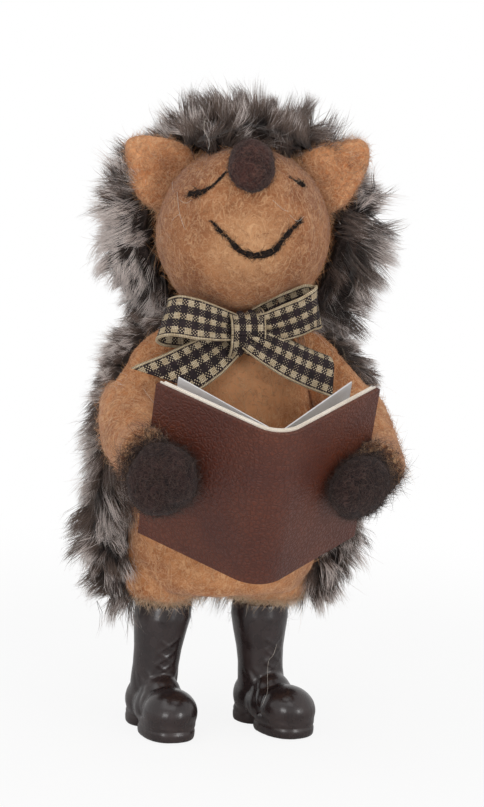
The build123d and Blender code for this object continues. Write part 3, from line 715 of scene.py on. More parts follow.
# %% Body
hem_high, hem_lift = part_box("right_thigh")[0].z + 4.5 * mm, 0.28
body_mesh = melted("body", map(packed, ("body_felt", "right_thigh", "left_thigh")), 0.6, 7)
for vertex in body_mesh.vertices:
    if vertex.co.z < hem_high:
        vertex.co.z += (hem_high - vertex.co.z) * hem_lift
felted(body_mesh, swell=0.3, lump=0.45)
# The pale patch on the chest is painted light, lifting the shade under the bow, the book and the arms.
body_felt = felt_finish("body_felt", *tan_dyes, tints_and_painted_light=((spot(0, -17, 79), 5, 15, (250, 184, 132), 0.76),))
shown("felt_body", body_mesh, body_felt, "felt", "body_felt", "right_thigh", "left_thigh", fill=0.95)
fuzz("felt_body_fuzz", body_mesh, 11000, tan_wool, 11, long=1.7, thick=0.04, stand=0.4)
print("body points:", len(body_mesh.vertices))

# %% Hem of the stumps
near_hem = lambda place, out: np.clip((hem_high - place[:, 2]) / (4 * mm), 0, 1) ** 2 + 1e-4
fuzz("hem_fuzz", body_mesh, 6500, pale_wool, 12, long=1.5, thick=0.028, stand=0.45, wanted=near_hem, hang=0.7)
fuzz("body_strays", body_mesh, 70, pale_wool, 13, long=4.0, thick=0.022, stand=0.35)
print("hem ready")

# %% Head
def head_spot(aside, front, up):
    """A point beside, before and above the head's middle, from millimetres."""
    return head_middle + (head_right * aside + head_front * front + upright * up) * mm


muzzle, brow = head_spot(0, 17, -1), head_spot(0, 8, 19)
temples = head_spot(-15, 9, 11), head_spot(15.5, 9, 11)
# The dark patches at the brow and the temples are painted shade, under the fur's edge and where the ears meet the head.
# The muzzle is paler.
face_felt = felt_finish(
    "face_felt", (132, 80, 48), (168, 113, 74), (214, 168, 126),
    tints_and_painted_light=(
        (muzzle, 3, 12, (196, 146, 104), 0.75), (brow, 4, 13, (122, 72, 44), 0.75),
        (temples[0], 2, 9, (124, 74, 46), 0.7), (temples[1], 2, 8, (132, 82, 52), 0.6),
    ),
)
head_mesh = felted(melted("head", [packed("head_felt")], 0.5, 4), swell=-0.25, lump=0.3, seed=3.0)
shown("felt_head", head_mesh, face_felt, "face_felt", "head_felt", fill=1.0)
fuzz("felt_head_fuzz", head_mesh, 10500, face_wool, 21, long=1.7, stand=0.45, slot="face_felt")
fuzz("felt_head_strays", head_mesh, 150, pale_wool, 22, long=3.4, thick=0.024, stand=0.3, slot="face_felt")
print("head points:", len(head_mesh.vertices))

# %% [markdown]
# ## Ears and nose
#
# Each ear is a thick flap of felt with a blunt corner and a soft hollow by the head. Its edge is
# listed, aside and up from the middle of the head. Rings of points shrink from that edge to
# the middle of the flap and swell to both sides, as a pillow does.

# %% Ears
ear_edges = {
    "right": [
        (-9.2, 13.4), (-11.1, 16.6), (-14.3, 18.5), (-17.7, 19.2), (-20.8, 19.5), (-23.6, 19.1), (-25.0, 17.6),
        (-24.9, 15.0), (-24.3, 12.1), (-23.5, 9.2), (-22.2, 6.9), (-20.4, 5.2), (-18.4, 4.2), (-16.4, 3.9),
        (-12.6, 5.2),
    ],
    "left": [
        (9.2, 13.8), (10.6, 16.6), (12.9, 18.2), (15.6, 19.2), (19.3, 20.0), (21.7, 20.4), (23.7, 20.3), (25.1, 19.0),
        (25.6, 16.8), (25.2, 14.4), (24.2, 12.1), (22.8, 9.4), (20.9, 6.8), (19.0, 5.4), (17.2, 4.7), (13.2, 5.6),
    ],
}
ear_hollows = {"right": ((-15.2, 11.6), 2.2), "left": ((16.4, 12.0), 1.2)}


def ear_flap(edge, hollow, hollow_deep, thick=2.1, front=1.0, rings=14):
    """The points and faces of one ear."""
    edge = smooth_line([(*place, 0) for place in edge], 80)[:, :2]
    heart = edge.mean(0)
    points = []
    for row in range(-rings, rings + 1):
        share = 1 - abs(row) / rings
        flat = heart + (edge - heart) * share
        swell = thick * math.sqrt(1 - share**4)
        depth = np.full(len(flat), front + math.copysign(swell, row))
        if row > 0:
            apart = np.linalg.norm(flat - hollow, axis=1)
            depth -= hollow_deep * np.exp(-((apart / 4.4) ** 2)) * swell / thick
        points += [head_spot(aside, ahead, up) for (aside, up), ahead in zip(flat, depth)]
    return points, ring_faces(2 * rings, len(edge))


for side in ("right", "left"):
    flap = ear_flap(ear_edges[side], *ear_hollows[side])
    ear_mesh = felted(melted(side + "_ear_skin", [flap], 0.3, 3), swell=0.0, lump=0.22, dimple=0.14, seed=5.0)
    shown(side + "_felt_ear", ear_mesh, ear_felt, "felt", side + "_ear", fill=1.0)
    fuzz(side + "_ear_fuzz", ear_mesh, 3800, tan_wool, 31, long=1.35, stand=0.42)
    ear_tree = skin_tree(ear_mesh)

    def by_the_ear(place, out):
        return np.array([1e-5 + (ear_tree.find_nearest(Vector(point))[3] < 1.6 * mm) for point in place])

    fuzz(side + "_ear_root_fuzz", head_mesh, 900, tan_wool, 33, long=2.0, stand=0.5, wanted=by_the_ear)
print("ears ready")

# %% Nose
nose_mesh = felted(melted("nose_skin", [packed("nose")], 0.35, 4), swell=0.1, lump=0.35, dimple=0.18, seed=8.0)
shown("felt_nose", nose_mesh, nose_felt, "nose_felt", "nose", fill=1.0)
fuzz("felt_nose_fuzz", nose_mesh, 2400, dark_wool, 41, long=1.0, slot="nose_felt")
print("nose ready")

# %% Arms and paws
def slimmer(place):
    """The arms thin out toward the shoulder."""
    return 0.25 - 2.0 * eased(place.z / mm, 71, 80)


arm_meshes = {}
for side in ("right", "left"):
    arm_mesh = felted(melted(side + "_arm_skin", [packed(side + "_arm")], 0.55, 6), swell=slimmer, lump=0.45, seed=9.0)
    arm_meshes[side] = arm_mesh
    middle = sum(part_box(side + "_paw"), Vector()) / 2
    sleeve_felt = felt_finish(side + "_sleeve_felt", *tan_dyes, tints_and_painted_light=((middle, 7.4, 12.4, dark_dyes[1], 1.0),))
    shown(side + "_felt_arm", arm_mesh, sleeve_felt, "felt", side + "_arm", fill=0.95)
    fuzz(side + "_arm_fuzz", arm_mesh, 5200, tan_wool, 51)
    fuzz(side + "_arm_strays", arm_mesh, 60, pale_wool, 52, long=4.0, thick=0.022, stand=0.4)
    paw_lots = [packed(side + "_paw")]
    if side == "right":
        ways = Vector((1, 0, 0)), Vector((0, 1, 0)), upright
        paw_lots.append(egg_lot(middle + Vector((-1.0, 0.6, -1.2)) * mm, ways, (6.7, 4.6, 6.8)))
    paw_mesh = felted(melted(side + "_paw_skin", paw_lots, 0.4, 4), swell=0.2, lump=0.4, seed=6.0)
    shown(side + "_felt_paw", paw_mesh, dark_felt, "paw_felt", side + "_paw", fill=0.95)
    fuzz(side + "_paw_fuzz", paw_mesh, 3400, dark_wool, 61, long=1.9, stand=0.5, slot="paw_felt")
    middle = np.array(middle)

    def near_paw(place, out):
        return np.clip(1 - (np.linalg.norm(place - middle, axis=1) - 6 * mm) / (5 * mm), 0, 1) + 1e-5

    fuzz(side + "_cuff_fuzz", arm_mesh, 3400, dark_wool, 71, long=2.8, stand=0.25, wanted=near_paw)
print("arms and paws ready")

# %% [markdown]
# ## Boots
#
# The boots are moulded in one piece, a glossy dark brown. Stacks of rings make the shaft, the sole
# and the heel, and eggs fill out the toe cap, the foot and the back. Voxels melt them together. A
# relief is then pressed into the skin: a groove over the sole, soft folds and the laced front.

# %% Boot shapes
boot_turns = {"right": 9, "left": 20}
lace_rises = (13.2, 15.8, 18.4)
boot_shaft = [
    (3.0, -0.6, 4.6, 4.5), (6.0, -0.4, 4.9, 4.9), (10.0, -0.1, 4.9, 5.0), (13.5, 0.0, 4.8, 4.9), (17.0, 0.0, 5.1, 5.1),
    (20.5, 0.0, 5.7, 5.6), (24.0, 0.0, 6.2, 6.1), (27.2, 0.0, 6.0, 5.9),
]
boot_sole = [
    (0.0, 8.4, 6.7, 5.2), (0.4, 8.5, 7.0, 5.5), (1.6, 8.5, 7.1, 5.6), (2.1, 8.5, 6.95, 5.55), (3.9, 8.5, 6.9, 5.6),
]
boot_heel = [(0.0, -2.2, 3.9, 4.3), (0.4, -2.2, 4.1, 4.6), (2.6, -2.0, 4.4, 4.8), (3.8, -1.6, 4.2, 4.5)]
boot_eggs = [
    (9.9, 5.4, (6.0, 5.8, 5.1)), (4.4, 5.4, (7.0, 5.7, 5.0)), (3.6, 6.8, (4.6, 4.7, 5.4)), (-1.0, 5.8, (5.6, 5.5, 5.6)),
]


def boot_relief(ahead, aside, rise, faces_front):
    """How far the mould stands out at a place of the boot, all in millimetres."""
    over_sole = eased(rise, 1.7, 2.0)
    out = 0.06 * over_sole * eased(9.0, rise, rise + 3) * eased(ahead, 4, 8)
    out -= 0.16 * hill(rise, 2.3, 0.35)
    beside = eased(abs(aside), 1.2, 3.2) * eased(rise, 3.2, 5.2) * (1 - eased(rise, 11.5, 13.5))
    for start, lean, deep in ((2.8, 0.5, 0.14), (0.6, 0.4, 0.08)):
        apart = (ahead - start - (12 - rise) * lean) / math.hypot(1, lean)
        out -= deep * beside * hill(apart, 0, 0.5)
        out += 0.5 * deep * beside * hill(apart, 1.05, 0.6)
    front = eased(faces_front, 0.15, 0.6) * eased(rise, 12.0, 13.5) * (1 - eased(rise, 19.5, 22.5))
    inside = 1 - eased(abs(aside), 1.6, 2.3)
    laces = sum(hill(rise, up + way * 0.7 * aside, 0.42) for up in lace_rises for way in (1, -1))
    out += front * (0.15 * min(laces, 1.2) * inside + 0.10 * hill(abs(aside), 2.35, 0.5))
    return out


def boot_lean(side, rise):
    """The shafts aren't quite upright: how far aside a height of the boot stands."""
    return -0.7 + 0.02 * rise + 0.0020 * rise**2 if side == "right" else 0.5 - 1.2 * eased(rise, 4, 24)


def boot_skin(side):
    side_way, ahead_way = right_and_front(boot_turns[side])
    ways = ahead_way, side_way, upright
    ankle = sum(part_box(side + "_leg_pin"), Vector()) / 2
    ankle.z = 0
    stacks = (boot_shaft, 2.0), (boot_sole, 2.4), (boot_heel, 2.4)
    lots = [stack_lot(ankle, ways, rings, power) for rings, power in stacks]
    for ahead, rise, halves in boot_eggs:
        lots.append(egg_lot(ankle + (ahead_way * ahead + upright * rise) * mm, ways, halves))
    mesh = melted(side + "_boot_skin", lots, 0.3, 5)

    def reach(place, normal):
        from_ankle = (place - ankle) / mm
        ahead, aside = from_ankle.dot(ahead_way), from_ankle.dot(side_way)
        under = eased(-normal.z, 0.5, 0.8)
        ripple = 0.02 * noise.noise(place * 420) + 0.08 * noise.noise(place * 120)
        return (boot_relief(ahead, aside, from_ankle.z, normal.dot(ahead_way)) + ripple) * (1 - under)

    moved_out(mesh, reach)
    for vertex in mesh.vertices:
        vertex.co.x += boot_lean(side, vertex.co.z / mm) * mm
    return mesh


print("boot shapes ready")

# %% Boots in moulded plastic
moulded = Finish("moulded_boot")
handling = moulded.grain(210, detail=4)
pores = moulded.grain(2600, detail=2)
moulded_boot = moulded.done(
    moulded.mix(handling.between(0.35, 0.7), (39, 30, 30), (52, 41, 40)),
    Roughness=0.24 + handling.between(0.4, 0.75) * 0.12, Normal=moulded.bump(pores, 0.00005, 0.25),
    Specular_IOR_Level=0.5,
)
boot_meshes = {}
for side in ("right", "left"):
    boot_mesh = boot_meshes[side] = boot_skin(side)
    shown(side + "_moulded_boot", boot_mesh, moulded_boot, "boot", side + "_boot")
    print(side, "boot points:", len(boot_mesh.vertices))

    def near_top(place, out):
        return np.clip((place[:, 2] - 23 * mm) / (4 * mm), 0, 1) * (np.abs(out[:, 2]) < 0.5) + 1e-6

    fuzz(
        side + "_boot_fuzz", boot_mesh, 260, dark_wool, 81, long=2.2, thick=0.02, stand=0.15, wanted=near_top, hang=0.6,
    )

# %% [markdown]
# ## Fur
#
# The hood and the coat are fur cloth with a pile about 9 mm deep, dark at the root and frosted at
# the tips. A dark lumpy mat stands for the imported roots. The hairs start in it, and each one leans
# toward the tip of its tuft.

# %% Fur finish
fur = Finish("frosted_fur")
across, along = fur.map_place("OFBake")
frost = (across * dye_columns).whole() / dye_columns
hair = fur.mix(along.between(0.1, 0.65), (48, 38, 33), (112, 94, 84))
hair = fur.mix((along - (1.05 - 0.9 * frost)).between(0.0, 0.3), hair, (230, 218, 212))
frosted_fur = fur.done(hair, Roughness=0.6, Sheen_Weight=0.15, Specular_IOR_Level=0.3)
fur_mat = felt_finish("fur_mat", (34, 27, 25), (62, 51, 47), (92, 78, 72), sheen=0.05)
near_hood = "head_felt", "body_felt", "right_arm", "left_arm", "fur_coat", "fur_hood"
near_coat = *near_hood, "right_thigh", "left_thigh"
solid_trees = {name: skin_tree(nodes[name].data) for name in near_coat}
print("fur finishes ready")

# %% Which faces of a fur solid look outward


def open_faces(node, others, clear):
    """For each triangle of a fur solid, whether it faces open air for so many millimetres."""
    corners, normal, _ = triangles(nodes[node].data)
    free = []
    for middle, way in zip(map(Vector, corners.mean(1)), map(Vector, normal)):
        start = middle + way * 0.05 * mm
        free.append(all(solid_trees[other].ray_cast(start, way, clear * mm)[0] is None for other in others))
    return np.array(free, float)


open_hood = open_faces("fur_hood", near_hood, 3.5)
open_coat = open_faces("fur_coat", near_coat, 9)
print("open faces:", int(open_hood.sum()), int(open_coat.sum()))

# %% Tufted fur
widest = 34


def nearest(points, centres):
    """The index of the nearest centre to each point, by a tree of places."""
    tree = KDTree(len(centres))
    for index, centre in enumerate(centres):
        tree.insert(centre, index)
    tree.balance()
    return np.array([tree.find(point)[1] for point in points])


def tufted(name, node, free, flow, count, tufts, seed, frost, pile=8.2, deep=3.8, batches=4, trim=None):
    """Grows a fur solid's pile, as several pieces. flow and frost read places and ways out.

    The hairs of a tuft share its way and its length, so it ends blunt, as a brush does. A few
    strays are longer and wander off, and make the pale fringe round the fur. What would stand far
    out at the sides is drawn in.
    """
    dice = np.random.default_rng(seed)
    mesh = nodes[node].data
    keep = lambda place, out: free + 1e-9
    tuft_root, tuft_out = scattered(mesh, tufts, dice, keep)
    tuft_way = unit(flow(tuft_root, tuft_out) + 0.65 * any_way(dice, tufts))
    tuft_long = pile * mm * (0.66 + 0.62 * dice.random(tufts) ** 1.3) * (trim(tuft_root) if trim else 1)
    root, out = scattered(mesh, count, dice, keep)
    owner = nearest(root, tuft_root)
    base = root - out * deep * mm
    stray = dice.random(count) < 0.10
    wander = np.where(stray, 0.5, 0.15)[:, None]
    way = unit(tuft_way[owner] + 0.3 * flow(root, out) + wander * any_way(dice, count))
    long = (tuft_long[owner] * (0.78 + 0.3 * dice.random(count)) * np.where(stray, 1.16, 1.0))[:, None]
    tip = base + way * long + (tuft_root[owner] - root) * (0.35 + 0.35 * dice.random(count))[:, None]
    lift = out * 0.16 * long + 0.05 * long * any_way(dice, count)
    lines = np.zeros((count, 4, 3))
    for step in range(4):
        s = step / 3
        lines[:, step] = base + (tip - base) * s + lift * math.sin(math.pi * s) * (1 - 0.25 * s)
    beyond = np.clip(np.abs(lines[..., 0]) - widest * mm, 0, None)
    lines[..., 0] -= np.sign(lines[..., 0]) * beyond * 0.55
    mood = 0.17 * dice.normal(size=tufts)[owner] + 0.12 * dice.normal(size=count) + 0.25 * stray
    column = np.clip(frost(tip, out) + mood, 0, 0.99)
    radius = 0.066 * mm * (0.7 + 0.5 * dice.random(count)) * np.where(stray, 0.7, 1.0)
    order = np.argsort(owner, kind="stable")
    for batch, picked in enumerate(np.array_split(order, batches)):
        title = f"{name}_{batch + 1}"
        strands = spikes(title, lines[picked], radius[picked], (column[picked] * dye_columns).astype(int))
        shown(title, strands, frosted_fur, "fur")


def fur_cloth(kind, tuft_count, hairs, seed, free, flow, frost, lumps, **more):
    """The pile of the hood or the coat, over its dark mat."""
    node = "fur_" + kind
    tufted(kind + "_fur", node, free, flow, int(hairs * density), tuft_count, seed, frost, **more)
    mat = melted(kind + "_mat", [packed(node)], 0.9, 6)
    moved_out(mat, lambda place, _: -2.4 + 0.6 * noise.noise(place * lumps))
    shown(kind + "_mat", mat, fur_mat, "fur", node, fill=0.9)
    print(kind, "hairs:", int(hairs * density))


density = 1.0
print("tufts ready")

# %% Hood
hair_middle = np.array(head_middle)


def hood_flow(place, out):
    """Hair stands away from the head, and falls a little at the sides."""
    away = unit(place - hair_middle)
    fall = np.clip((hair_middle[2] + 14 * mm - place[:, 2]) / (26 * mm), 0, 1)[:, None]
    return unit(out * 0.5 + away * 0.7 - np.array([[0, 0, 1.0]]) * fall * 0.85)


def hood_frost(place, out):
    side_patch = np.exp(-(((place[:, 0] + 24.5 * mm) / (7 * mm)) ** 2) - ((place[:, 2] - 99 * mm) / (10 * mm)) ** 2)
    wave = np.array([noise.noise(Vector(p) * 130) for p in place])
    beside = np.clip((np.abs(place[:, 0]) - 12 * mm) / (12 * mm), 0, 1)
    return 0.27 + 0.42 * wave + 1.0 * side_patch + 0.24 * beside


hood_peaks = [np.array(spot(*point)) for point in ((-11, 5.5, 130), (0.6, 3, 132), (13.6, -1, 128))]


def hood_trim(place):
    """Taller tufts at three places on top, and a shorter pile low on the right."""
    peaks = sum(np.exp(-((np.linalg.norm(place - peak, axis=1) / (2.8 * mm)) ** 2)) for peak in hood_peaks)
    low_right = np.clip((-place[:, 0] - 14 * mm) / (8 * mm), 0, 1) * np.clip((106 * mm - place[:, 2]) / (12 * mm), 0, 1)
    return 1 + 0.38 * np.clip(peaks, 0, 1) - 0.4 * low_right


fur_cloth("hood", 560, 44000, 101, open_hood, hood_flow, hood_frost, 260, trim=hood_trim)

# %% Coat


def coat_flow(place, out):
    """Hair falls, and stands off enough to look thick."""
    return unit(out * 0.75 - np.array([[0, 0, 1.0]]) * 0.85)


def coat_frost(place, out):
    wave = np.array([noise.noise(Vector(p) * 150 + Vector((7, 3, 1))) for p in place])
    return 0.44 + 0.5 * wave


fur_cloth("coat", 700, 50000, 102, open_coat, coat_flow, coat_frost, 240, batches=5)

# %% Fringe beside the shoulders


def shoulder_flow(place, out):
    """Hair that stands out past the arms, and hangs a little."""
    aside = np.sign(place[:, :1]) * np.array([[1.0, 0, 0]])
    return unit(aside * 0.8 + out * 0.35 + np.array([[0, 0.1, -0.35]]))


coat_places = triangles(nodes["fur_coat"].data)[0].mean(1)
beside_arms = (coat_places[:, 2] > 70 * mm) * (np.abs(coat_places[:, 0]) > 13 * mm)
open_shoulders = open_faces("fur_coat", ["right_arm", "left_arm", "fur_hood"], 1.2) * beside_arms
tufted(
    "shoulder_fur", "fur_coat", open_shoulders, shoulder_flow, int(12000 * density), 170, 103, coat_frost,
    pile=6.0, deep=2.0, batches=1,
)
for side, low, front in (("right", 77.5, -0.2), ("left", 77.0, -0.55)):
    over, away, _ = triangles(nodes[side + "_arm"].data)
    over = over.mean(1)
    on_top = (over[:, 2] > low * mm) * (away[:, 1] > front) * (away[:, 2] > -0.3) * 1.0
    on_top *= open_faces(side + "_arm", ["fur_coat", "fur_hood", "body_felt"], 0.6)
    tufted(
        side + "_shoulder_fur", side + "_arm", on_top, shoulder_flow, int(6000 * density), 90, 104, coat_frost,
        pile=5.4, deep=2.0, batches=1,
    )
print("open faces beside the shoulders:", int(open_shoulders.sum()))

# %% [markdown]
# ## Lines in space
#
# Ribbons, threads and loose fibres follow a curve that passes through a few given points.

# %% Smooth lines and tubes


def ways_along(line, up):
    """The way along a line at each point, and two ways across it."""
    way = unit(np.gradient(line, axis=0))
    aside = unit(np.cross(way, up))
    return way, aside, np.cross(way, aside)


def spread(values, steps):
    """A few values, spread evenly along a line of so many points."""
    return np.interp(np.linspace(0, 1, steps), np.linspace(0, 1, len(values)), values)


def dropped(tree, place, proud):
    """A place put onto a skin, and lifted by some millimetres."""
    found, normal = tree.find_nearest(Vector(place))[:2]
    return found + normal * proud * mm


def tube(line, radius, sides):
    """Points and faces of a closed round tube along a line. radius has a value for each point."""
    _, aside, across = ways_along(line, [0.31, 0.17, 0.94])
    turn = np.linspace(0, math.tau, sides, endpoint=False)
    ring = aside[:, None] * np.cos(turn)[None, :, None] + across[:, None] * np.sin(turn)[None, :, None]
    points = (line[:, None] + ring * np.asarray(radius)[:, None, None]).reshape(-1, 3)
    rows = len(line) - 1
    return points, end_faces(rows, sides) + ring_faces(rows, sides)


print("lines ready")

# %% [markdown]
# ## The sewn face
#
# Mouth and eyes are black wool yarn, stitched through the felt. Each stitch is a line of points
# dropped onto the skin of the head, and three thin plies twist round it.

# %% Yarn
thread_black = Finish("black_yarn")
ply_grain = thread_black.grain(2600, detail=3)
black_yarn = thread_black.done(
    thread_black.mix(ply_grain.between(0.35, 0.7), (14, 10, 9), (46, 36, 32)), Roughness=0.95,
    Normal=thread_black.bump(ply_grain, 0.0003, 0.8), Specular_IOR_Level=0.15,
)
black_wool = wool_finish("black_wool", (14, 11, 11), (34, 28, 27), (66, 56, 52), sheen=0.05)
head_tree = skin_tree(head_mesh)
yarn_steps = 60


def face_point(aside, front, up, proud=0.0):
    """A point on the head's skin, from the head's own right, front and up in millimetres."""
    return dropped(head_tree, head_spot(aside, front, up), proud)


def stitched(name, points, radii, node, proud=0.02, furry=170):
    """Three plies of yarn sunk in the head's skin, as thick as radii say, with loose ends of wool."""
    line = smooth_line([face_point(*point) for point in points], yarn_steps)
    line = np.array([dropped(head_tree, place, proud) for place in line])
    thick = spread(radii, yarn_steps) * mm
    thick *= np.array([1 + 0.7 * noise.noise(Vector(place) * 700) for place in line])
    way, aside, across = ways_along(line, [0, 0, 1.0])
    parts = []
    for ply in range(3):
        turn = np.linspace(0, 9, yarn_steps) + ply * math.tau / 3
        offset = aside * np.cos(turn)[:, None] + across * np.sin(turn)[:, None]
        parts.append(tube(line + offset * thick[:, None] * 0.45, thick * 0.62, 6))
    shown(name, joined_mesh(name, parts), black_yarn, "thread", node)
    dice = np.random.default_rng(len(points))
    at = dice.integers(0, yarn_steps, furry)
    out = np.array([head_tree.find_nearest(Vector(place))[1] for place in line])[at]
    beside = np.cross(out, way[at])
    start = line[at] + beside * thick[at][:, None] * dice.normal(size=(furry, 1)) * 0.5
    lean = unit(way[at] * dice.choice([-1, 1], furry)[:, None] + beside * dice.normal(size=(furry, 1)) * 0.55)
    long = (0.8 + 1.1 * dice.random(furry))[:, None] * mm * np.clip(thick[at] / (0.4 * mm), 0.5, 1.2)[:, None]
    ends = np.stack([start + long * (lean * s + out * 0.3 * s * (1.2 - s)) for s in (0, 1 / 3, 2 / 3, 1)], axis=1)
    loose = spikes(name + "_wool", ends, np.full(furry, 0.06 * mm), dice.integers(0, 40, furry))
    shown(name + "_wool", loose, black_wool, "thread")


stitched("mouth_yarn", [
    (-7.6, 17.6, 3.7), (-6.3, 18.0, 2.4), (-4.9, 18.6, 1.2), (-1.5, 18.7, -1.9), (1.9, 18.5, -2.6),
    (5.2, 18.0, -1.4), (7.4, 17.4, 1.2), (9.2, 16.2, 3.2), (10.3, 15.4, 4.3),
], (0.30, 0.30, 0.42, 0.56, 0.66, 0.52, 0.34, 0.24), "mouth_stitch", furry=620)
stitched("right_eye_yarn", [
    (-5.2, 16.1, 13.9), (-6.2, 15.9, 12.6), (-7.8, 15.8, 10.9), (-10.0, 14.3, 9.2), (-12.3, 12.5, 8.9),
], (0.12, 0.16, 0.28, 0.66, 0.48), "right_eye_stitch", furry=330)
stitched("left_eye_yarn", [
    (8.2, 14.2, 13.3), (9.3, 13.4, 12.6), (10.2, 12.6, 12.0), (11.0, 11.8, 11.5),
], (0.02, 0.03, 0.30, 0.72), "left_eye_stitch", furry=110)
print("face ready")

# %% [markdown]
# ## The bow
#
# The ribbon is about 9.5 mm wide, woven in a small check with a plain light edge. Where dark
# threads cross light ones, only the round top of a light thread shows, as a dot. A strip of mesh
# follows each loop and tail, and its map is in millimetres, so the weave keeps its true size.

# %% Woven ribbon
ribbon_half = 4.75
warp_wide, weft_wide = 0.36, 0.32

ribbon_weave = Finish("checked_ribbon")
cross_mm, along_mm = ribbon_weave.map_place("ribbon_mm")
warp = (cross_mm + 0.72) / warp_wide + 900
weft = (along_mm + 200.0) / weft_wide
warp_number, weft_number = warp.whole(), weft.whole()
warp_dark = (warp_number % 9) > 3.5
weft_dark = weft_number % 8 < 4
warp_on_top = (warp_number + weft_number) % 2 < 1
dark_on_top = warp_on_top * warp_dark + (1 - warp_on_top) * weft_dark
both_light = (1 - warp_dark) * (1 - weft_dark)
weave_height = ((warp - warp_number) * math.pi).wave() * ((weft - weft_number) * math.pi).wave()
large_dot, small_dot = weave_height.between(0.36, 0.6), weave_height.between(0.68, 0.9)
light_edge = cross_mm.size() > (ribbon_half - 0.5)
light_here = (1 - dark_on_top) * (both_light + large_dot * (1 - warp_dark) + small_dot * warp_dark).held()
light_here = (light_here + light_edge).held()
ribbon_tone = ribbon_weave.grain(900, detail=2)
light_yarn = ribbon_weave.mix(ribbon_tone.between(0.3, 0.7), (190, 170, 138), (222, 206, 176))
dark_yarn = ribbon_weave.mix(ribbon_tone.between(0.3, 0.7), (24, 16, 19), (46, 34, 37))
# Painted shade: the light yarn darkens where the weave is low, between the threads.
shade = ribbon_weave.mix(weave_height.between(0.0, 0.6), (128, 110, 86), light_yarn)
checked_ribbon = ribbon_weave.done(
    ribbon_weave.mix(light_here, dark_yarn, shade), Roughness=0.7 + ribbon_tone * 0.2,
    Normal=ribbon_weave.bump(weave_height, 0.00014, 0.8), Specular_IOR_Level=0.3,
)


def ribbon(name, line, width_way, half, pleat, slant=0.0, roll=0.0, steps=56):
    """A strip of ribbon. line and width_way are control points, and half is half its width in mm."""
    centre = smooth_line([spot(*point) for point in line], steps)
    wide = unit(smooth_line(width_way, steps))
    way = unit(np.gradient(centre, axis=0))
    wide = unit(wide - way * (wide * way).sum(1, keepdims=True))
    face = np.cross(way, wide)
    stations = np.linspace(0, 1, steps)
    half_here, pleat_here = spread(half, steps), spread(pleat, steps)
    gone = np.concatenate([[0], np.cumsum(np.linalg.norm(np.diff(centre, axis=0), axis=1))]) / mm
    columns = 25
    u = np.linspace(-1, 1, columns)
    bend = np.radians(roll) * np.clip((u - 0.1) / 0.9, 0, 1) ** 1.5
    step_across = np.gradient(u)
    across = np.cumsum(np.cos(bend) * step_across) - 1
    back = -np.cumsum(np.sin(bend) * step_across)
    edge = np.clip((np.abs(u) - 0.87) / 0.06, 0, 1)
    thick = 0.16 + 0.13 * edge * np.clip((1.0 - np.abs(u)) / 0.02 + 0.5, 0, 1)
    points = np.zeros((steps, 2, columns, 3))
    on_map = np.zeros((steps, 2, columns, 2))
    for i in range(steps):
        sheared = slant * stations[i] ** 1.3 * u
        waves = pleat_here[i] * np.cos(u * 3.2 * math.pi) * (1 - 0.5 * np.abs(u))
        base = centre[i] + wide[i] * (across * half_here[i] * mm)[:, None] + way[i] * (sheared * mm)[:, None]
        depth = (back * half_here[i] + waves)[:, None] * mm
        for layer, outward in ((0, 1), (1, -1)):
            points[i, layer] = base + face[i] * (depth + outward * thick[:, None] * mm)
            on_map[i, layer, :, 0] = u * ribbon_half
            on_map[i, layer, :, 1] = gone[i] + sheared
    both = 2 * columns
    last = (steps - 1) * both
    ring = [*range(columns), *range(both - 1, columns - 1, -1)]
    faces = []
    for low in range(0, last, both):
        faces += [[low + a, low + both + a, low + both + b, low + b] for a, b in zip(ring, ring[1:] + ring[:1])]
    faces += [[c, c + 1, columns + c + 1, columns + c] for c in range(columns - 1)]
    faces += [[last + columns + c, last + columns + c + 1, last + c + 1, last + c] for c in range(columns - 1)]
    mesh = bpy.data.meshes.new(name)
    mesh.from_pydata(points.reshape(-1, 3).tolist(), [], faces)
    places = on_map.reshape(-1, 2)
    corners = np.zeros(len(mesh.loops), np.int32)
    mesh.loops.foreach_get("vertex_index", corners)
    mesh.uv_layers.new(name="ribbon_mm").data.foreach_set("uv", places[corners].astype(np.float32).ravel())
    return smooth_faces(mesh)


def bow_piece(name, node, *args, **kwargs):
    shown(name, ribbon(name, *args, **kwargs), checked_ribbon, "ribbon", node)


print("ribbon ready")

# %% Loops, tails and knot
bow_piece("right_loop_ribbon", "bow_right_loop", [
    (-3.4, -18.0, 88.6), (-7.6, -19.4, 89.3), (-13.0, -20.0, 90.4), (-17.3, -19.2, 91.0), (-19.4, -16.6, 90.0),
    (-18.0, -14.2, 88.6), (-13.5, -13.4, 87.8), (-8.0, -13.8, 87.6), (-3.6, -15.0, 87.8),
], [(0.1, 0.3, 1), (0.2, 0.4, 0.9), (0.33, 0.5, 0.8), (0.36, 0.5, 0.8), (0.36, 0.5, 0.8),
    (0.36, 0.45, 0.8), (0.3, 0.4, 0.9), (0.2, 0.3, 1), (0.1, 0.2, 1)],
    (2.3, 3.4, 4.5, 4.75, 4.75, 4.75, 4.4, 3.4, 2.3), (0.7, 0.35, 0.05, 0, 0, 0, 0.1, 0.4, 0.7))
bow_piece("left_loop_ribbon", "bow_left_loop", [
    (-1.8, -18.2, 88.6), (2.6, -20.2, 89.2), (7.4, -21.4, 91.0), (10.9, -20.8, 92.6), (12.4, -18.6, 93.2),
    (11.0, -16.6, 93.6), (6.5, -16.0, 92.0), (2.0, -15.6, 90.2), (-1.5, -15.5, 88.8),
], [(-0.1, 0.1, 1), (-0.15, -0.1, 1), (-0.25, -0.35, 0.9), (-0.28, -0.4, 0.9), (-0.3, -0.4, 0.9),
    (-0.28, -0.4, 0.9), (-0.25, -0.3, 0.9), (-0.15, -0.1, 1), (-0.1, 0.1, 1)],
    (2.3, 3.3, 4.3, 4.6, 4.6, 4.5, 4.0, 3.2, 2.3), (0.7, 0.4, 0.1, 0, 0, 0, 0.1, 0.4, 0.7))
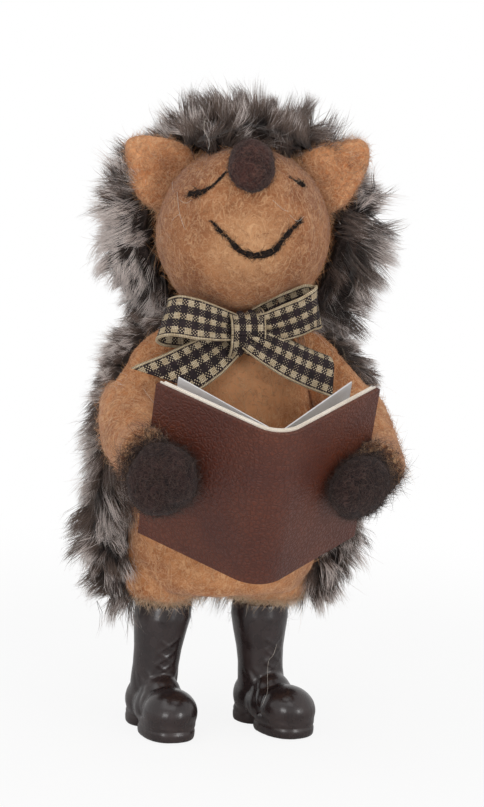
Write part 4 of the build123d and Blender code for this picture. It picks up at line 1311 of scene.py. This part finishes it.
bow_piece("right_tail_ribbon", "bow_right_tail", [
    (-3.2, -16.2, 87.2), (-6.4, -18.0, 85.2), (-11.0, -19.0, 82.3), (-15.2, -18.8, 79.8), (-18.8, -18.2, 77.9),
], [(-0.7, 0.1, 0.7), (-0.65, 0.12, 0.75), (-0.6, 0.12, 0.8), (-0.6, 0.12, 0.8), (-0.6, 0.12, 0.8)],
    (2.4, 3.6, 4.6, 4.9, 5.0), (0.6, 0.35, 0.05, 0, 0), slant=5.2)
bow_piece("left_tail_ribbon", "bow_left_tail", [
    (-2.4, -20.2, 87.4), (1.6, -21.2, 85.4), (6.0, -21.0, 83.3), (10.8, -20.2, 81.2), (16.2, -19.2, 79.2),
], [(0.35, 0.15, 0.9), (0.35, 0.2, 0.9), (0.38, 0.2, 0.9), (0.38, 0.2, 0.9), (0.38, 0.2, 0.9)],
    (3.0, 3.9, 4.5, 4.6, 4.6), (0.45, 0.3, 0.1, 0, 0), slant=-1.2, roll=78)
knot_turns = np.linspace(0, math.tau, 13)
bow_piece("knot_ribbon", "bow_knot", [
    (-2.7, -17.2 - 3.3 * math.cos(a), 87.6 + 4.3 * math.sin(a)) for a in knot_turns
], [(1, 0, 0.12)] * 13, (3.6,) * 13, (0.35, 0.3, 0.4, 0.35) * 3 + (0.35,), steps=60)
print("bow ready")

# %% [markdown]
# ## The book
#
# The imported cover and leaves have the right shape, so they stay and only get their finishes. The
# lining and the folded sheet stand a little above the cover, so their upper edges are raised.
# Leatherette has a pebbled grain: cells whose edges are sunk.

# %% Book finishes
def dressed(finish, *names):
    """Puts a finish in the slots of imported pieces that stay."""
    for name in names:
        for slot in nodes[name].material_slots:
            slot.material = finish


hide = Finish("grained_leatherette")
wander = hide.grain(700.0, detail=2.0, rough=0.5, out="Color")
bent = hide.node("VectorMath", {0: wander, 1: (0.7 * mm,) * 3, 2: hide.place()}, operation="MULTIPLY_ADD")
pebble_edge = hide.cells(1040.0, feature="DISTANCE_TO_EDGE", place=bent)
small_edge = hide.cells(2100.0, feature="DISTANCE_TO_EDGE", place=bent)
pebbles, small_pebbles = pebble_edge.between(0.0, 0.24), small_edge.between(0.0, 0.3)
cloudy = hide.grain(60, detail=4)
tone = hide.mix(cloudy.between(0.3, 0.7), (80, 34, 20), (99, 48, 28))
# Painted shade: the sunk edges of the pebbles are darkened.
tone = hide.mix((1 - pebbles) * 0.4, tone, (50, 24, 17))
leatherette = hide.done(
    tone, Roughness=0.33 + cloudy * 0.12 + (1 - pebbles) * 0.15,
    Normal=hide.bump(pebbles + small_pebbles * 0.35, 0.0002, 0.6), Specular_IOR_Level=0.4,
)


def paper_finish(name, shade, plain):
    paper = Finish(name)
    cloud = paper.grain(90, detail=4)
    flecks = paper.fibres(1500, 0.03)
    colour = paper.mix(cloud.between(0.3, 0.7), shade, plain)
    colour = paper.mix(flecks * 0.25, colour, (250, 248, 244))
    return paper.done(
        colour, Roughness=0.75 + cloud * 0.15, Normal=paper.bump(flecks + cloud, 0.0001, 0.35), Specular_IOR_Level=0.3,
    )


dressed(leatherette, "book_cover")
dressed(paper_finish("leaf_paper", (214, 212, 214), (233, 232, 233)), "left_page", "right_page")
lining_paper = paper_finish("lining_paper", (218, 206, 190), (238, 230, 218))
for name, node, rise in (("lining_raised", "book_endpaper", 0.75), ("sheet_raised", "book_sheet", 1.75)):
    points, faces = packed(node)
    top = max(point.dot(book_up) for point in points) - 0.2 * mm
    raised = [point + book_up * rise * mm if point.dot(book_up) > top else point for point in points]
    sheet_mesh = joined_mesh(name, [(raised, faces)], smooth=False)
    shown(name, sheet_mesh, lining_paper, "paper", node)
print("book ready")

# %% [markdown]
# ## Loose fibres
#
# A few long pale fibres hang on the face, on a sleeve, across the cover and on a boot. They are
# listed one by one: each is a line of places, and all but one are dropped onto the skin below them.

# %% Loose fibres
fibre_steps = 14


def laid(tree, proud, *places):
    """A smooth line through places in millimetres, each dropped onto a skin and lifted a little."""
    return smooth_line([dropped(tree, spot(*place), proud) for place in places], fibre_steps)


def on_face(*places):
    return smooth_line([face_point(*place, 0.25) for place in places], fibre_steps)


right_sleeve, left_boot = skin_tree(arm_meshes["right"]), skin_tree(boot_meshes["left"])
cover = skin_tree(nodes["book_cover"].data)
fibre_lines = np.array([
    on_face((-16.1, 2.0, 11.5), (-15.8, 4.5, 10.3), (-15.3, 7.5, 8.8)),
    on_face((-14.4, 9.2, 8.8), (-14.4, 12.2, 5.0), (-13.1, 13.9, 1.6)),
    on_face((-14.0, 10.9, 7.3), (-12.7, 12.6, 6.9), (-11.3, 13.3, 7.6)),
    on_face((-15.7, 10.7, 3.2), (-14.9, 11.5, 4.1), (-14.2, 12.1, 4.6)),
    on_face((7.6, 16.5, 5.6), (9.6, 15.6, 4.4), (11.2, 14.6, 5.4)),
    on_face((4.0, 17.4, 8.6), (6.0, 17.0, 6.8), (7.4, 16.6, 6.4)),
    laid(
        right_sleeve, 0.5, (-22.3, -15.3, 76.6), (-21.9, -15.7, 74.0), (-21.0, -16.4, 71.5), (-21.8, -16.7, 68.6),
        (-21.3, -17.5, 64.7),
    ),
    laid(cover, 0.35, (-20.2, -25.4, 69.1), (-17.7, -26.0, 69.4), (-15.0, -26.4, 71.7), (-12.9, -26.4, 75.0)),
    laid(
        left_boot, 0.2, (13.2, -2.4, 18.2), (12.0, -2.4, 16.2), (10.9, -2.4, 14.5), (9.7, -3.0, 12.7),
        (8.6, -4.2, 10.2), (6.9, -6.0, 9.0), (5.6, -6.0, 6.2),
    ),
    smooth_line([
        spot(-11.6, -13.6, 130.7), spot(-11.8, -13.9, 128.4), spot(-10.8, -14.5, 126.2), spot(-11.0, -14.8, 124.2),
    ], fibre_steps),
])
many = len(fibre_lines)
fibre_mesh = spikes("loose_fibres", fibre_lines, np.full(many, 0.04 * mm), np.full(many, 58), tip_share=0.7)
shown("loose_fibres", fibre_mesh, loose_wool, "felt")
print("loose fibres:", many)

# %% [markdown]
# ## What is inside
#
# The foam cores, the sticks and the arm wires lie hidden inside. They get plain finishes all the same, so
# that a cut through the model shows what it is made of.

# %% Hidden pieces
foam = Finish("white_foam")
bubbles = foam.cells(900.0)
foam_done = foam.done(
    foam.mix(bubbles.between(0.1, 0.6), (236, 236, 232), (218, 218, 214)), Roughness=0.7,
    Normal=foam.bump(bubbles, 0.0003, 0.5),
)
birch = Finish("birch_stick")
streaks = birch.grain(900, detail=4, place=birch.stretched(1, 1, 0.08))
birch_done = birch.done(
    birch.mix(streaks.between(0.35, 0.65), (186, 150, 104), (216, 188, 146)), Roughness=0.6,
    Normal=birch.bump(streaks, 0.0001, 0.4),
)
steel = Finish("soft_steel_wire")
marks = steel.grain(2400, detail=3)
steel_done = steel.done(
    steel.mix(marks.between(0.3, 0.7), (150, 150, 152), (188, 188, 190)), Roughness=0.3 + marks * 0.15, Metallic=1.0,
)
dressed(foam_done, "body_core", "head_core")
dressed(birch_done, "neck_dowel", "right_leg_pin", "left_leg_pin")
dressed(steel_done, "right_arm_wire", "left_arm_wire")
print("hidden pieces ready")
